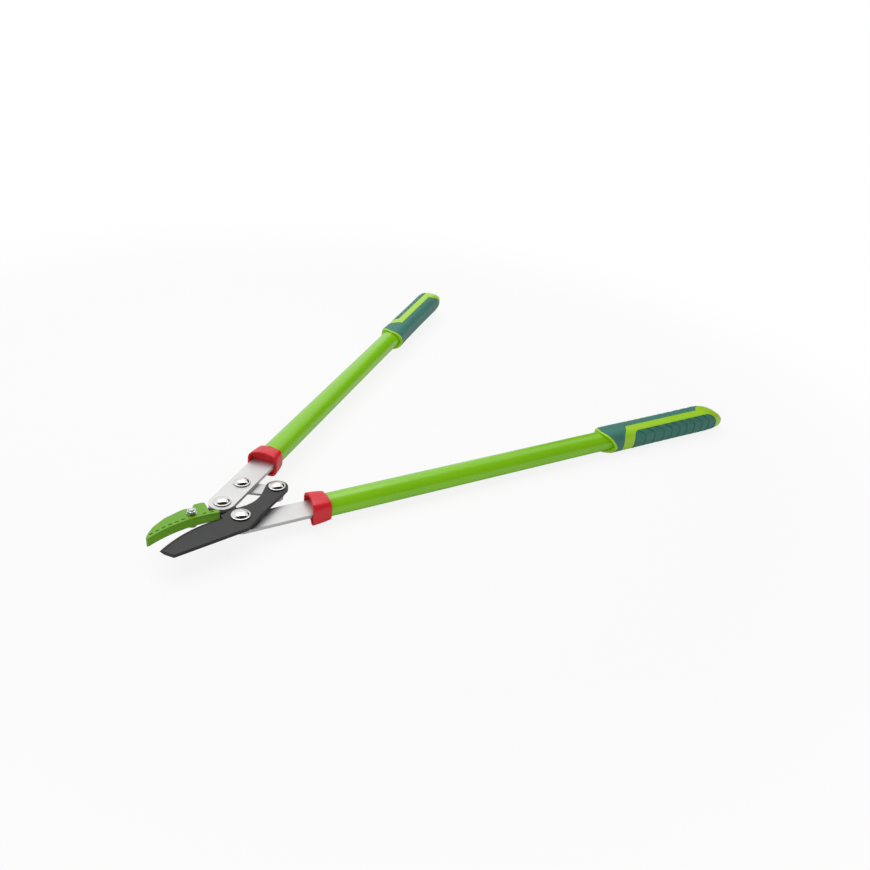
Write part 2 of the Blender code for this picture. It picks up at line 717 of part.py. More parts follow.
def grip_lines():
    """Stations and angles of the grip's grid, with a pair of lines a gap apart at each panel's edge."""
    ring_mid = (FLANGE_LENGTH + SLEEVE_RING_END) / 2
    stations = [0.0, FLANGE_LENGTH, FLANGE_LENGTH + FIT, ring_mid, SLEEVE_RING_END - FIT, SLEEVE_RING_END]
    stations += [PAD_START, PAD_START + FIT]
    stations += list(np.linspace(PAD_START, SLEEVE_END, 6)[1:-1])
    stations += [SLEEVE_END - FIT, SLEEVE_END, (SLEEVE_END + PAD_END) / 2, PAD_END - FIT, PAD_END]
    stations += [PAD_END + (GRIP_LENGTH - PAD_END) * share for share in GRIP_NOSE_STOPS]
    low = STRIPE_HALF_ANGLE
    high = 180.0 - STRIPE_HALF_ANGLE
    gap = math.degrees(FIT / GRIP_HALF_HEIGHT)
    half = [0.0, low, *np.linspace(low + gap, high - gap, 9), high]
    return np.array(stations), np.array(half + [180.0 + angle for angle in half])


def grip_skin(stations, angles, sunk, side, turn, origin, height):
    """Grid of points on the grip's skin, sunk by a depth, with its inner side and its turn given."""
    grid = np.zeros((len(stations), len(angles), 3))
    turns = np.radians(angles + turn)
    for row, station in enumerate(stations):
        place = station + end_lean(station, angles)
        width, tall, drop = grip_section(place)
        across, up = squircle(width - sunk, tall - sunk, GRIP_SQUARENESS, turns)
        grid[row, :, 0] = origin + place + front_lean(station, angles)
        grid[row, :, 1] = side * across
        grid[row, :, 2] = height + up - drop
    return grid


def panel_cells(stations, angles, first, last, low_angle, high_angle):
    """Cells of the grid between two stations and two angles."""
    middle_station = (stations[1:] + stations[:-1]) / 2
    next_angle = np.append(angles[1:], 360.0)
    middle_angle = (angles + next_angle) / 2
    along = (middle_station > first) & (middle_station < last)
    round_axis = (middle_angle > low_angle) & (middle_angle < high_angle)
    return along[:, None] & round_axis[None, :]


def solid_from_cells(name, high, low, raised, closed_front, closed_back):
    """A closed mesh whose cells lie on the high grid where raised and on the low grid elsewhere.

    Without closed ends the cells that aren't raised are left out and the low grid is the underside.
    """
    body = bmesh.new()
    upper = [[body.verts.new(point) for point in row] for row in high]
    lower = [[body.verts.new(point) for point in row] for row in low]
    rows = len(upper) - 1
    columns = len(upper[0])
    whole = closed_front is not None

    def split(first, second, third, fourth):
        """Two triangles with the diagonal from the first corner, so that facing skins stay parallel."""
        body.faces.new((first, second, third))
        body.faces.new((first, third, fourth))

    def cell(grid, row, column):
        after = (column + 1) % columns
        split(grid[row][column], grid[row][after], grid[row + 1][after], grid[row + 1][column])

    def wall(row_a, column_a, row_b, column_b):
        column_b %= columns
        near = (upper[row_a][column_a], lower[row_a][column_a])
        far = (upper[row_b][column_b], lower[row_b][column_b])
        split(near[0], far[0], far[1], near[1])

    for row in range(rows):
        for column in range(columns):
            if raised[row, column]:
                cell(upper, row, column)
            if raised[row, column] != whole:
                cell(lower, row, column)
            if raised[row, column] != raised[row, column - 1]:
                wall(row, column, row + 1, column)
            before = raised[row - 1, column] if row else whole
            if raised[row, column] != before:
                wall(row, column, row, column + 1)
    if not whole and raised[rows - 1].any():
        for column in range(columns):
            if raised[rows - 1, column]:
                wall(rows, column, rows, column + 1)
    if whole:
        closed_front(body, upper[0])
        closed_back(body, upper[-1])
    loose = [vert for vert in body.verts if not vert.link_faces]
    bmesh.ops.delete(body, geom=loose, context="VERTS")
    bmesh.ops.recalc_face_normals(body, faces=body.faces)
    mesh = bpy.data.meshes.new(name)
    body.to_mesh(mesh)
    body.free()
    return mesh


def grip(prefix, collar_start, height, side, turn, parent):
    """A hard core with raised stripes, a soft sleeve with the front ring, and a soft outer pad."""
    origin = grip_start(collar_start)
    stations, angles = grip_lines()
    skin = grip_skin(stations, angles, 0.0, side, turn, origin, height)
    floor = grip_skin(stations, angles, PANEL_DEPTH, side, turn, origin, height)
    underside = grip_skin(stations, angles, PANEL_DEPTH - FIT, side, turn, origin, height)
    gap = math.degrees(FIT / GRIP_HALF_HEIGHT)
    inner = (STRIPE_HALF_ANGLE, 180.0 - STRIPE_HALF_ANGLE)
    outer = (180.0 + STRIPE_HALF_ANGLE, 360.0 - STRIPE_HALF_ANGLE)

    def cells(first, last, low_angle, high_angle, inset):
        """Cells between two stations and two angles, drawn in by a gap where inset is 1."""
        return panel_cells(stations, angles, first + inset * FIT, last - inset * FIT,
                           low_angle + inset * gap, high_angle - inset * gap)

    def sleeve_cells(inset):
        """Cells of the front ring and of the strip behind it on the inner side."""
        ring = cells(FLANGE_LENGTH, SLEEVE_RING_END, -2 * gap, 360.0 + 2 * gap, inset)
        return ring | cells(FLANGE_LENGTH, SLEEVE_END, *inner, inset)

    bore_y, bore_z = squircle(TUBE_HALF_WIDTH + FIT, TUBE_HALF_HEIGHT + FIT, 2.0, np.radians(angles + turn))
    bore_end = origin + TUBE_IN_GRIP + FIT

    def bored_front(body, rim):
        """Front face with the bore for the tube, down to its floor."""
        ring = [(side * y, height + z) for y, z in zip(bore_y, bore_z)]
        mouth = [body.verts.new((x, *point)) for x, point in zip(skin[0, :, 0], ring)]
        base = [body.verts.new((bore_end, *point)) for point in ring]
        count = len(rim)
        for index in range(count):
            after = (index + 1) % count
            body.faces.new((rim[index], rim[after], mouth[after], mouth[index]))
            body.faces.new((mouth[index], mouth[after], base[after], base[index]))
        body.faces.new(base)

    def plain_back(body, rim):
        """Flat cap at the nose."""
        body.faces.new(rim)

    raised = ~(sleeve_cells(0) | cells(PAD_START, PAD_END, *outer, 0))
    core_name = prefix + "_grip_core"
    core = solid_from_cells(core_name, skin, floor, raised, bored_front, plain_back)
    add_piece(core_name, core, LIME_PLASTIC, parent)
    sleeve_name = prefix + "_grip_sleeve"
    sleeve = solid_from_cells(sleeve_name, skin, underside, sleeve_cells(1), None, None)
    add_piece(sleeve_name, sleeve, TEAL_RUBBER, parent)
    pad_name = prefix + "_grip_pad"
    pad = solid_from_cells(pad_name, skin, underside, cells(PAD_START, PAD_END, *outer, 1), None, None)
    add_piece(pad_name, pad, TEAL_RUBBER, parent)


def handle(prefix, collar_start, bar_bottom, bar_thickness, holes, side, turn, parent):
    """One handle: bar, collar, tube with plug and pin, and grip."""
    height = bar_bottom + bar_thickness / 2
    bar(prefix + "_bar", bar_thickness, bar_bottom, collar_start, holes, parent)
    collar(prefix + "_collar", collar_start, height, bar_thickness, side, parent)
    tube_and_plug(prefix, collar_start, height, bar_thickness, parent)
    grip(prefix, collar_start, height, side, turn, parent)


def jaw_plate():
    """The black plate that joins the lower bar, the upper handle's pivot and the anvil."""
    lip_clear = ANVIL_RADIUS + ANVIL_LIP + FIT
    nose = polar(TONGUE_NOSE_ANGLE, ANVIL_RADIUS + TONGUE_NOSE_DEPTH)
    heel = polar(JAW_PLATE_HEEL_ANGLE, lip_clear + JAW_PLATE_HEEL_MARGIN)
    shoulder = polar(TONGUE_SHOULDER_ANGLE, ANVIL_RADIUS + TONGUE_SHOULDER_DEPTH)
    neck = (HANDLE_PIVOT[0] + JAW_PLATE_NECK[0], HANDLE_PIVOT[1] + JAW_PLATE_NECK[1])
    outline = belt([
        (*nose, TONGUE_NOSE_RADIUS),
        (*ANVIL_CENTRE, -lip_clear),
        (*heel, 0.0),
        (0.0, 0.0, JAW_PLATE_PIVOT_RADIUS),
        (*PLATE_RIVET_PLACE, PLATE_RIVET_RADIUS + JAW_PLATE_RIVET_MARGIN),
        (*JAW_PLATE_WAIST, -JAW_PLATE_WAIST_RADIUS),
        (*HANDLE_PIVOT, JAW_PLATE_HANDLE_RADIUS),
        (*neck, 0.0),
        (*shoulder, TONGUE_NOSE_RADIUS),
    ])
    holes = [
        circle(0.0, 0.0, PIVOT_SHANK_RADIUS + FIT),
        circle(*HANDLE_PIVOT, BOLT_SHANK_RADIUS + FIT),
        circle(*PLATE_RIVET_PLACE, PLATE_RIVET_RADIUS + FIT),
        circle(*ANVIL_SCREW_PLACE, ANVIL_SCREW_RADIUS + FIT, SMALL_ROUND_STEPS),
    ]
    plate("jaw_plate", [outline, *holes], JAW_PLATE_BOTTOM, JAW_PLATE_TOP, BLACK_STEEL, FRAME_ROOT)
    seat = LOWER_BAR_BOTTOM - FIT
    head_bottom = seat - PLATE_RIVET_HEAD_HEIGHT
    profile = [
        (0.0, JAW_PLATE_TOP),
        (PLATE_RIVET_RADIUS, JAW_PLATE_TOP),
        (PLATE_RIVET_RADIUS, seat),
        (PLATE_RIVET_HEAD_RADIUS, seat),
        (0.8 * PLATE_RIVET_HEAD_RADIUS, head_bottom),
        (0.0, head_bottom),
    ]
    turned_piece("jaw_plate_rivet", profile, PLATE_RIVET_PLACE, STEEL, FRAME_ROOT)


def anvil_top_outline():
    """Outline of the anvil's top, anticlockwise: the face, the heel end, the tab and the back edge."""
    face = ANVIL_RADIUS
    step = face + ANVIL_HEEL_DEPTH
    tab = face + ANVIL_TAB_DEPTH - ANVIL_TAB_ROUND
    back = [(*polar(angle, face + depth - radius), radius) for angle, depth, radius in ANVIL_BACK_ARCS]
    return belt([
        (*polar(ANVIL_TIP_ANGLE - ANVIL_TIP_MARGIN, face + ANVIL_TIP_ROUND), ANVIL_TIP_ROUND - SHORTEST_EDGE),
        (*ANVIL_CENTRE, -face),
        (*polar(ANVIL_HEEL_ANGLE, face), 0.0),
        (*polar(ANVIL_HEEL_ANGLE, step), 0.0),
        (*polar(ANVIL_TAB_START, step), 0.0),
        (*polar(ANVIL_TAB_START + ANVIL_TAB_SLOPE, tab), ANVIL_TAB_ROUND),
        (*polar(ANVIL_TAB_END - ANVIL_TAB_SLOPE, tab), ANVIL_TAB_ROUND),
        (*polar(ANVIL_TAB_FOOT, face + ANVIL_BACK_DEPTH), 0.0),
        *back,
    ])


def anvil_hollow(name, wall, bottom, top):
    """Cutter for the space behind the anvil's face, a wall's thickness away from it."""
    near = ANVIL_RADIUS + wall
    far = ANVIL_RADIUS + 2 * ANVIL_TAB_DEPTH
    tip = ANVIL_TIP_ANGLE - ANVIL_END_WALL
    heel = ANVIL_HEEL_ANGLE - ANVIL_OPEN_PAST_HEEL
    outline = belt([
        (*polar(tip, near), 0.0),
        (*ANVIL_CENTRE, -near),
        (*polar(heel, near), 0.0),
        (*polar(heel, far), 0.0),
        (*polar(tip, far), 0.0),
    ])
    return plate_cutter(name, [outline], bottom, top, FRAME_ROOT)


def anvil():
    """The green folded sheet that the blade closes on, with drain slots along its fold."""
    piece = plate("anvil", [anvil_top_outline()], ANVIL_BOTTOM, ANVIL_TOP, GREEN_SHEET, FRAME_ROOT)
    floor = ANVIL_BOTTOM + ANVIL_SHEET
    ceiling = ANVIL_TOP - ANVIL_SHEET
    boolean(piece, anvil_hollow("anvil_hollow", ANVIL_SHEET, floor, ceiling))
    boolean(piece, anvil_hollow("anvil_open_base", ANVIL_LIP, ANVIL_BOTTOM - FIT, floor + ANVIL_SHEET))
    for index in range(ANVIL_SLOTS):
        angle = ANVIL_SLOT_FIRST - index * ANVIL_SLOT_PITCH
        if abs(angle - ANVIL_SCREW_ANGLE) < ANVIL_SLOT_FREE_PITCHES * ANVIL_SLOT_PITCH:
            continue
        window = rectangle(ANVIL_SLOT_LENGTH / 2, ANVIL_SLOT_WIDTH / 2)
        cut = flat_mesh("drain_slot", [window], 4 * ANVIL_SHEET)
        slot = add_cutter(f"drain_slot_{index + 1}", cut, FRAME_ROOT)
        slot.location = (*polar(angle, ANVIL_RADIUS + ANVIL_SLOT_DEPTH), ANVIL_TOP)
        slot.rotation_euler.z = math.radians(angle)
        boolean(piece, slot)
    ring = circle(*ANVIL_SCREW_PLACE, ANVIL_SCREW_RADIUS + FIT, SMALL_ROUND_STEPS)
    hole_floor = ceiling - ANVIL_SHEET
    hole = plate_cutter("anvil_screw_hole", [ring], hole_floor, ANVIL_TOP + FIT, FRAME_ROOT)
    boolean(piece, hole)


def anvil_fasteners():
    """The screw up through the jaw plate and the anvil, with its spacer, its washer and its nut."""
    seat = ANVIL_SCREW_PLACE
    shank = ANVIL_SCREW_RADIUS
    spacer_bottom = JAW_PLATE_TOP + FIT
    spacer_height = ANVIL_TOP - ANVIL_SHEET - FIT - spacer_bottom
    washer("anvil_spacer", seat, ANVIL_SPACER_RADIUS, shank, spacer_bottom, spacer_height, STEEL, FRAME_ROOT)
    washer_bottom = ANVIL_TOP + FIT
    thickness = ANVIL_WASHER_THICKNESS
    washer("anvil_washer", seat, ANVIL_WASHER_RADIUS, shank, washer_bottom, thickness, STEEL, FRAME_ROOT)
    nut_bottom = washer_bottom + thickness + FIT
    nut("anvil_nut", seat, ANVIL_NUT_FLATS, ANVIL_NUT_HEIGHT, shank, nut_bottom, False, STEEL, FRAME_ROOT)
    end = nut_bottom + ANVIL_NUT_HEIGHT + ANVIL_SCREW_TAIL
    chamfer = 0.2 * shank
    head_top = JAW_PLATE_BOTTOM - FIT
    head_bottom = head_top - ANVIL_SCREW_HEAD_HEIGHT
    profile = [
        (0.0, end),
        (shank - chamfer, end),
        (shank, end - chamfer),
        (shank, head_top),
        (ANVIL_SCREW_HEAD_RADIUS, head_top),
        (ANVIL_SCREW_HEAD_RADIUS, head_bottom + 0.4 * ANVIL_SCREW_HEAD_HEIGHT),
        (0.75 * ANVIL_SCREW_HEAD_RADIUS, head_bottom),
        (0.0, head_bottom),
    ]
    turned_piece("anvil_screw", profile, seat, STEEL, FRAME_ROOT)


def blade():
    """The blade with its arm, ground from both sides to an edge that meets the anvil's arc when shut."""
    edge_centre = turned(ANVIL_CENTRE, BLADE_CLOSING_TRAVEL)
    edge_radius = ANVIL_RADIUS - FIT
    outline = belt([
        (*BLADE_NOSE, BLADE_NOSE_CORNER),
        (*BLADE_HEEL, BLADE_HEEL_RADIUS),
        (*BLADE_ARM_BEND, 0.0),
        (*ARM_PIVOT, BLADE_EYE_RADIUS),
        (*BLADE_THROAT, -BLADE_THROAT_RADIUS),
        (0.0, 0.0, BLADE_BOSS_RADIUS),
        (*BLADE_SHOULDER, 0.0),
        (*edge_centre, edge_radius + BLADE_BLANK_MARGIN),
        (*BLADE_TIP_BLANK, 0.0),
    ])
    holes = [circle(0.0, 0.0, PIVOT_SHANK_RADIUS + FIT), circle(*ARM_PIVOT, BOLT_SHANK_RADIUS + FIT)]
    piece = plate("blade", [outline, *holes], BLADE_BOTTOM, BLADE_TOP, BLACK_STEEL, BLADE_ROOT)

    inner = edge_radius - 2 * BLADE_GRIND
    outer = edge_radius + 3 * BLADE_BLANK_MARGIN
    profile = [
        (inner, BLADE_MIDDLE + BLADE_THICKNESS),
        (outer, BLADE_MIDDLE + BLADE_THICKNESS),
        (outer, BLADE_MIDDLE - BLADE_THICKNESS),
        (inner, BLADE_MIDDLE - BLADE_THICKNESS),
        (edge_radius, BLADE_MIDDLE),
    ]
    stone = turned_piece("blade_grind", profile, edge_centre, STEEL, BLADE_ROOT, steps=GRIND_STEPS)
    PARTS.objects.unlink(stone)
    CUTTERS.objects.link(stone)
    stone.display_type = "WIRE"
    stone.hide_render = True
    half_reach = abs(BLADE_TIP_BLANK[0])
    window = rectangle(half_reach, half_reach)
    low = BLADE_MIDDLE - 2 * BLADE_THICKNESS
    high = BLADE_MIDDLE + 2 * BLADE_THICKNESS
    zone = plate_cutter("blade_grind_zone", [window], low, high, BLADE_ROOT)
    zone.location.x = BLADE_SHOULDER[0] - FIT - half_reach
    boolean(stone, zone, "INTERSECT")
    boolean(piece, stone)


def link():
    """The short link from the upper bar to the blade's arm, whose eye on the arm has play."""
    half = LINK_WIDTH / 2
    eye = Vector(ARM_PIVOT) - LINK_PIVOT
    outline = belt([(0.0, 0.0, half), (*eye, half)])
    holes = [
        circle(0.0, 0.0, BOLT_SHANK_RADIUS + FIT),
        circle(*eye, BOLT_SHANK_RADIUS + LINK_EYE_PLAY),
    ]
    plate("link", [outline, *holes], LINK_BOTTOM, LINK_TOP, STEEL, LINK_ROOT)


def small_pivot(prefix, place, seat, lowest_plate, parent):
    """One of the smaller bolts with its domed head, and the nut under the plates that it joins."""
    shank = BOLT_SHANK_RADIUS
    nut_bottom = lowest_plate - FIT - BOLT_NUT_HEIGHT
    nut(prefix + "_nut", place, BOLT_NUT_FLATS, BOLT_NUT_HEIGHT, shank, nut_bottom, True, STEEL, parent)
    bolt(prefix + "_bolt", place, shank, BOLT_HEAD_RADIUS, seat, nut_bottom - BOLT_TAIL, POLISHED, parent)


def link_washer(name, place, parent):
    """The thin washer between the link and the piece above it."""
    bottom = LINK_WASHER_BOTTOM
    washer(name, place, BOLT_HEAD_RADIUS, BOLT_SHANK_RADIUS, bottom, LINK_WASHER_THICKNESS, STEEL, parent)


def fasteners():
    """Pivot bolts with their nuts and washers, and the rivet that joins the link to the upper bar."""
    centre = (0.0, 0.0)
    shank = PIVOT_SHANK_RADIUS
    seat = BLADE_TOP + FIT
    bolt("blade_pivot_bolt", centre, shank, PIVOT_HEAD_RADIUS, seat, 0.0, POLISHED, FRAME_ROOT)
    nut("blade_pivot_nut", centre, PIVOT_NUT_FLATS, PIVOT_NUT_HEIGHT, shank, PIVOT_TAIL, True, STEEL,
        FRAME_ROOT)
    small_pivot("handle_pivot", HANDLE_PIVOT, UPPER_BAR_TOP + FIT, JAW_PLATE_BOTTOM, FRAME_ROOT)
    small_pivot("arm_pivot", ARM_PIVOT, seat, LINK_BOTTOM, BLADE_ROOT)
    link_washer("arm_pivot_washer", ARM_PIVOT, BLADE_ROOT)

    rivet_place = (LEVER_LENGTH, 0.0)
    rivet_seat = UPPER_BAR_TOP + FIT
    foot = LINK_BOTTOM - FIT
    foot_bottom = foot - LINK_RIVET_FOOT_HEIGHT
    profile = dome_profile(BOLT_HEAD_RADIUS, HEAD_HEIGHT, rivet_seat) + [
        (BOLT_SHANK_RADIUS, rivet_seat),
        (BOLT_SHANK_RADIUS, foot),
        (LINK_RIVET_FOOT_RADIUS, foot),
        (0.85 * LINK_RIVET_FOOT_RADIUS, foot - 0.6 * LINK_RIVET_FOOT_HEIGHT),
        (0.5 * LINK_RIVET_FOOT_RADIUS, foot_bottom),
        (0.0, foot_bottom),
    ]
    turned_piece("link_rivet", profile, rivet_place, POLISHED, UPPER_ROOT)
    link_washer("link_rivet_washer", rivet_place, UPPER_ROOT)


bpy.context.view_layer.update()
lower_holes = [
    circle(0.0, 0.0, PIVOT_SHANK_RADIUS + FIT),
    circle(*PLATE_RIVET_PLACE, PLATE_RIVET_RADIUS + FIT),
]
upper_holes = [
    circle(0.0, 0.0, BOLT_SHANK_RADIUS + FIT),
    circle(LEVER_LENGTH, 0.0, BOLT_SHANK_RADIUS + FIT),
]
handle("lower", LOWER_COLLAR_START, LOWER_BAR_BOTTOM, LOWER_BAR_THICKNESS, lower_holes, 1.0,
       LOWER_GRIP_TURN, FRAME_ROOT)
handle("upper", UPPER_COLLAR_START, BLADE_BOTTOM, UPPER_BAR_THICKNESS, upper_holes, -1.0,
       UPPER_GRIP_TURN, UPPER_ROOT)
jaw_plate()
anvil()
anvil_fasteners()
blade()
link()
fasteners()
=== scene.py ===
"""Anvil lopper, dressed for a studio picture.

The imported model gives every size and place, in metres, with the blade's pivot at the origin and the
lower handle along +X. The sections below follow the tool from its bars out to its grips, and then on
to the jaws and the pivots that hold them together. The studio comes last.
"""

import json
import math

import bmesh
import bpy
import numpy as np
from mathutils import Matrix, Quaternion, Vector

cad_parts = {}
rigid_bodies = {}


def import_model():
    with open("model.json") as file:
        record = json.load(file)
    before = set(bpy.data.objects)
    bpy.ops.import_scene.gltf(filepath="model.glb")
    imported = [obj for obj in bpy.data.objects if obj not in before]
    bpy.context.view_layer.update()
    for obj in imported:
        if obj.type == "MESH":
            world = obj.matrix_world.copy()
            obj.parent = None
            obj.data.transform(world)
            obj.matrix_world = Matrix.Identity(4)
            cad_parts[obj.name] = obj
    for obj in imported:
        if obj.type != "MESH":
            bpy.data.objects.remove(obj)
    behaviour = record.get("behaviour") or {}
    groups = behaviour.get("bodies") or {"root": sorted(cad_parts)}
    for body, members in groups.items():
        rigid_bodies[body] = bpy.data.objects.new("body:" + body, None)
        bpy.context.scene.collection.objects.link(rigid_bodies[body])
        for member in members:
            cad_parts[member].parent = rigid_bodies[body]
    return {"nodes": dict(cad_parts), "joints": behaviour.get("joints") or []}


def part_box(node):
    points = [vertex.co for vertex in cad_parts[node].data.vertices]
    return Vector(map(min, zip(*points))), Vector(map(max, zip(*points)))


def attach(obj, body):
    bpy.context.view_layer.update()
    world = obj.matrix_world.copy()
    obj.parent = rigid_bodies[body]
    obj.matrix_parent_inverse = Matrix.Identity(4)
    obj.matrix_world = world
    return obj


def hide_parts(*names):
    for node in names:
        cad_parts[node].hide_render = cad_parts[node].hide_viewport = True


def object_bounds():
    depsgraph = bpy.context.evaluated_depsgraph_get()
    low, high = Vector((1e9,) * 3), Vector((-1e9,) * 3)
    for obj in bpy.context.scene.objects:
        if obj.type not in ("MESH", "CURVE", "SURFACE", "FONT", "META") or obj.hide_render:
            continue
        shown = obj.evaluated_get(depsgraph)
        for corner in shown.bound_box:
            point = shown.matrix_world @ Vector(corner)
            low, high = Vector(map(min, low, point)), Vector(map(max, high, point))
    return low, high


for leftover in list(bpy.data.objects):
    bpy.data.objects.remove(leftover)

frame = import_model()
cad_box = [list(corner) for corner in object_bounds()]


# Bars: two flat bars of mild steel, punched, tumbled and zinc plated.
# The lower one carries the blade's pivot, the upper one is the short end of the lever.
# Each copy keeps the solid's outline and gets the small round that tumbling leaves on an edge.
BAR_EDGE_ROUND = 0.00035
FLAT_ANGLE = math.radians(0.5)
MERGE_DISTANCE = 0.000002
UPPER_HANDLE_ANGLE = math.radians(41.6)


def linear(code):
    """Turn an sRGB hex code such as #80C000 into a linear colour with full alpha."""
    share = np.array([int(code[place:place + 2], 16) for place in (1, 3, 5)]) / 255.0
    value = np.where(share <= 0.04045, share / 12.92, ((share + 0.055) / 1.055) ** 2.4)
    return (*value.tolist(), 1.0)


def feed(node, inputs):
    """Set each named input of a shader node to a value, or link it to an output."""
    for key, value in inputs.items():
        if isinstance(value, bpy.types.NodeSocket):
            node.id_data.links.new(value, node.inputs[key])
        else:
            node.inputs[key].default_value = value
    return node


def add_node(tree, kind, inputs, **settings):
    """Add a shader node with its settings, and feed its inputs."""
    node = tree.nodes.new(kind)
    for setting, value in settings.items():
        setattr(node, setting, value)
    return feed(node, inputs)


def new_finish(name):
    """An empty material, with its node tree, its shader and its object coordinate."""
    finish = bpy.data.materials.new(name)
    finish.use_nodes = True
    tree = finish.node_tree
    shader = tree.nodes["Principled BSDF"]
    place = add_node(tree, "ShaderNodeTexCoord", {}).outputs["Object"]
    return finish, tree, shader, place


def zinc_bar_steel(name, direction):
    """Bright zinc on rolled flat bar: a pale metal with a satin grain along the bar and faint stains.

    The real grain is about 0.1 mm apart. It is drawn at 0.6 mm, so that the render shows it.
    """
    finish, tree, shader, place = new_finish(name)
    grain_pitch = 0.0006
    grain_length = 0.030
    stain_size = 0.0222
    turned = add_node(tree, "ShaderNodeMapping", {"Vector": place, "Rotation": (0.0, 0.0, -direction)})
    stretched = add_node(tree, "ShaderNodeMapping", {
        "Vector": turned.outputs["Vector"],
        "Scale": (1.0 / grain_length, 1.0 / grain_pitch, 1.0 / grain_pitch),
    }).outputs["Vector"]
    grain = add_node(tree, "ShaderNodeTexNoise", {"Vector": stretched, "Scale": 1.0, "Detail": 3.0})
    stain = add_node(tree, "ShaderNodeTexNoise", {"Vector": place, "Scale": 1.0 / stain_size, "Detail": 4.0})
    tone = add_node(tree, "ShaderNodeMapRange", {
        "Value": grain.outputs["Fac"], "From Min": 0.3, "From Max": 0.7, "To Min": 0.965, "To Max": 1.0,
    }).outputs["Result"]
    colour = add_node(tree, "ShaderNodeMix", {
        "Factor": stain.outputs["Fac"], "A": linear("#CCCCCB"), "B": linear("#DCDCDC"),
    }, data_type="RGBA")
    toned = add_node(tree, "ShaderNodeVectorMath", {
        0: colour.outputs["Result"], "Scale": tone,
    }, operation="SCALE")
    rough = add_node(tree, "ShaderNodeMapRange", {
        "Value": grain.outputs["Fac"], "From Min": 0.3, "From Max": 0.7, "To Min": 0.50, "To Max": 0.60,
    })
    bump = add_node(tree, "ShaderNodeBump", {
        "Height": grain.outputs["Fac"], "Strength": 0.15, "Distance": 0.00005,
    })
    feed(shader, {
        "Base Color": toned.outputs["Vector"], "Roughness": rough.outputs["Result"],
        "Normal": bump.outputs["Normal"], "Metallic": 0.75,
    })
    return finish


def dress(piece, finish, body, nodes):
    """Give a piece its finish, its body and the CAD nodes that it stands for."""
    piece.data.materials.clear()
    piece.data.materials.append(finish)
    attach(piece, body)
    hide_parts(*nodes)
    return piece


def eased_copy(node, round_width, finish, body, sharp=30.0):
    """Copy a CAD node, merge its loose triangles into whole faces and round its edges a little."""
    name = node + "_eased"
    shell = bmesh.new()
    shell.from_mesh(frame["nodes"][node].data)
    bmesh.ops.remove_doubles(shell, verts=shell.verts, dist=MERGE_DISTANCE)
    bmesh.ops.dissolve_limit(shell, angle_limit=FLAT_ANGLE, verts=shell.verts, edges=shell.edges)
    mesh = bpy.data.meshes.new(name)
    shell.to_mesh(mesh)
    shell.free()
    mesh.shade_smooth()
    mesh.set_sharp_from_angle(angle=math.radians(sharp))
    piece = bpy.data.objects.new(name, mesh)
    bpy.context.scene.collection.objects.link(piece)
    bevel = piece.modifiers.new("tumbled_edge", "BEVEL")
    bevel.width = round_width
    bevel.segments = 3
    bevel.limit_method = "ANGLE"
    bevel.angle_limit = math.radians(sharp)
    bevel.harden_normals = True
    return dress(piece, finish, body, [node])


lower_steel = zinc_bar_steel("zinc_plated_flat_bar_lower", 0.0)
upper_steel = zinc_bar_steel("zinc_plated_flat_bar_upper", UPPER_HANDLE_ANGLE)
eased_copy("lower_bar", BAR_EDGE_ROUND, lower_steel, "fixed_handle")
eased_copy("upper_bar", BAR_EDGE_ROUND, upper_steel, "moving_handle")


# Collars: injection moulded ring of glossy red polypropylene, pressed over the joint of bar and tube.
# Its mouth is sunk behind a rounded lip that dips on the top and the bottom, and the bar comes out of
# a slot in the sunk floor. The back has a small step onto the tube.
COLLAR_SQUARENESS = 3.6
COLLAR_LIP_ROUND = 0.0012
COLLAR_LIP_WIDTH = 0.0026
COLLAR_LIP_INSIDE = 0.0006
COLLAR_LIP_DIP = 0.0022
COLLAR_LEAN = 0.0015
COLLAR_TAPER = 0.0019
COLLAR_BACK_ROUND = 0.0012
COLLAR_FLOOR_DEPTH = 0.0024
COLLAR_FLOOR_DROP = 0.0004
COLLAR_FLOOR_FALL = 0.0008
COLLAR_SLOT_DEPTH = 0.0030
COLLAR_BORE_DEPTH = 0.0060
COLLAR_AROUND = 144
SLOT_SQUARENESS = 12.0
OVAL_SQUARENESS = 2.0
FIT = 0.0003


def place_of(name):
    """World coordinates of a CAD node's points as an array of rows."""
    mesh = frame["nodes"][name].data
    flat = np.zeros(len(mesh.vertices) * 3, np.float32)
    mesh.vertices.foreach_get("co", flat)
    return flat.reshape(-1, 3).astype(float)


class Handle:
    """One handle's own frame: along from its pivot, across towards the other handle, and up."""

    def __init__(self, prefix, body, pivot, angle, side):
        self.prefix = prefix
        self.body = body
        self.pivot = np.array(pivot)
        self.along = np.array([math.cos(angle), math.sin(angle)])
        self.across = side * np.array([-math.sin(angle), math.cos(angle)])
        low, high = self.extent("tube")
        self.height = (low[2] + high[2]) / 2

    def extent(self, part):
        """Lowest and highest corner of one of the handle's nodes, in the handle's own frame."""
        points = place_of(f"{self.prefix}_{part}")
        flat = points[:, :2] - self.pivot
        own = np.stack([flat @ self.along, flat @ self.across, points[:, 2]], axis=1)
        return own.min(axis=0), own.max(axis=0)

    def to_row(self, along, across, up):
        """Turn arrays of own coordinates, with up counted from the tube's axis, into row coordinates."""
        flat = along[..., None] * self.along + across[..., None] * self.across + self.pivot
        return np.concatenate([flat, (up + self.height)[..., None]], axis=-1)


def squircle_radius(turn, half_width, half_height, squareness):
    """Distance from the middle to a superellipse, at angles counted from straight up."""
    wide = np.abs(np.sin(turn) / half_width) ** squareness
    tall = np.abs(np.cos(turn) / half_height) ** squareness
    return (wide + tall) ** (-1.0 / squareness)


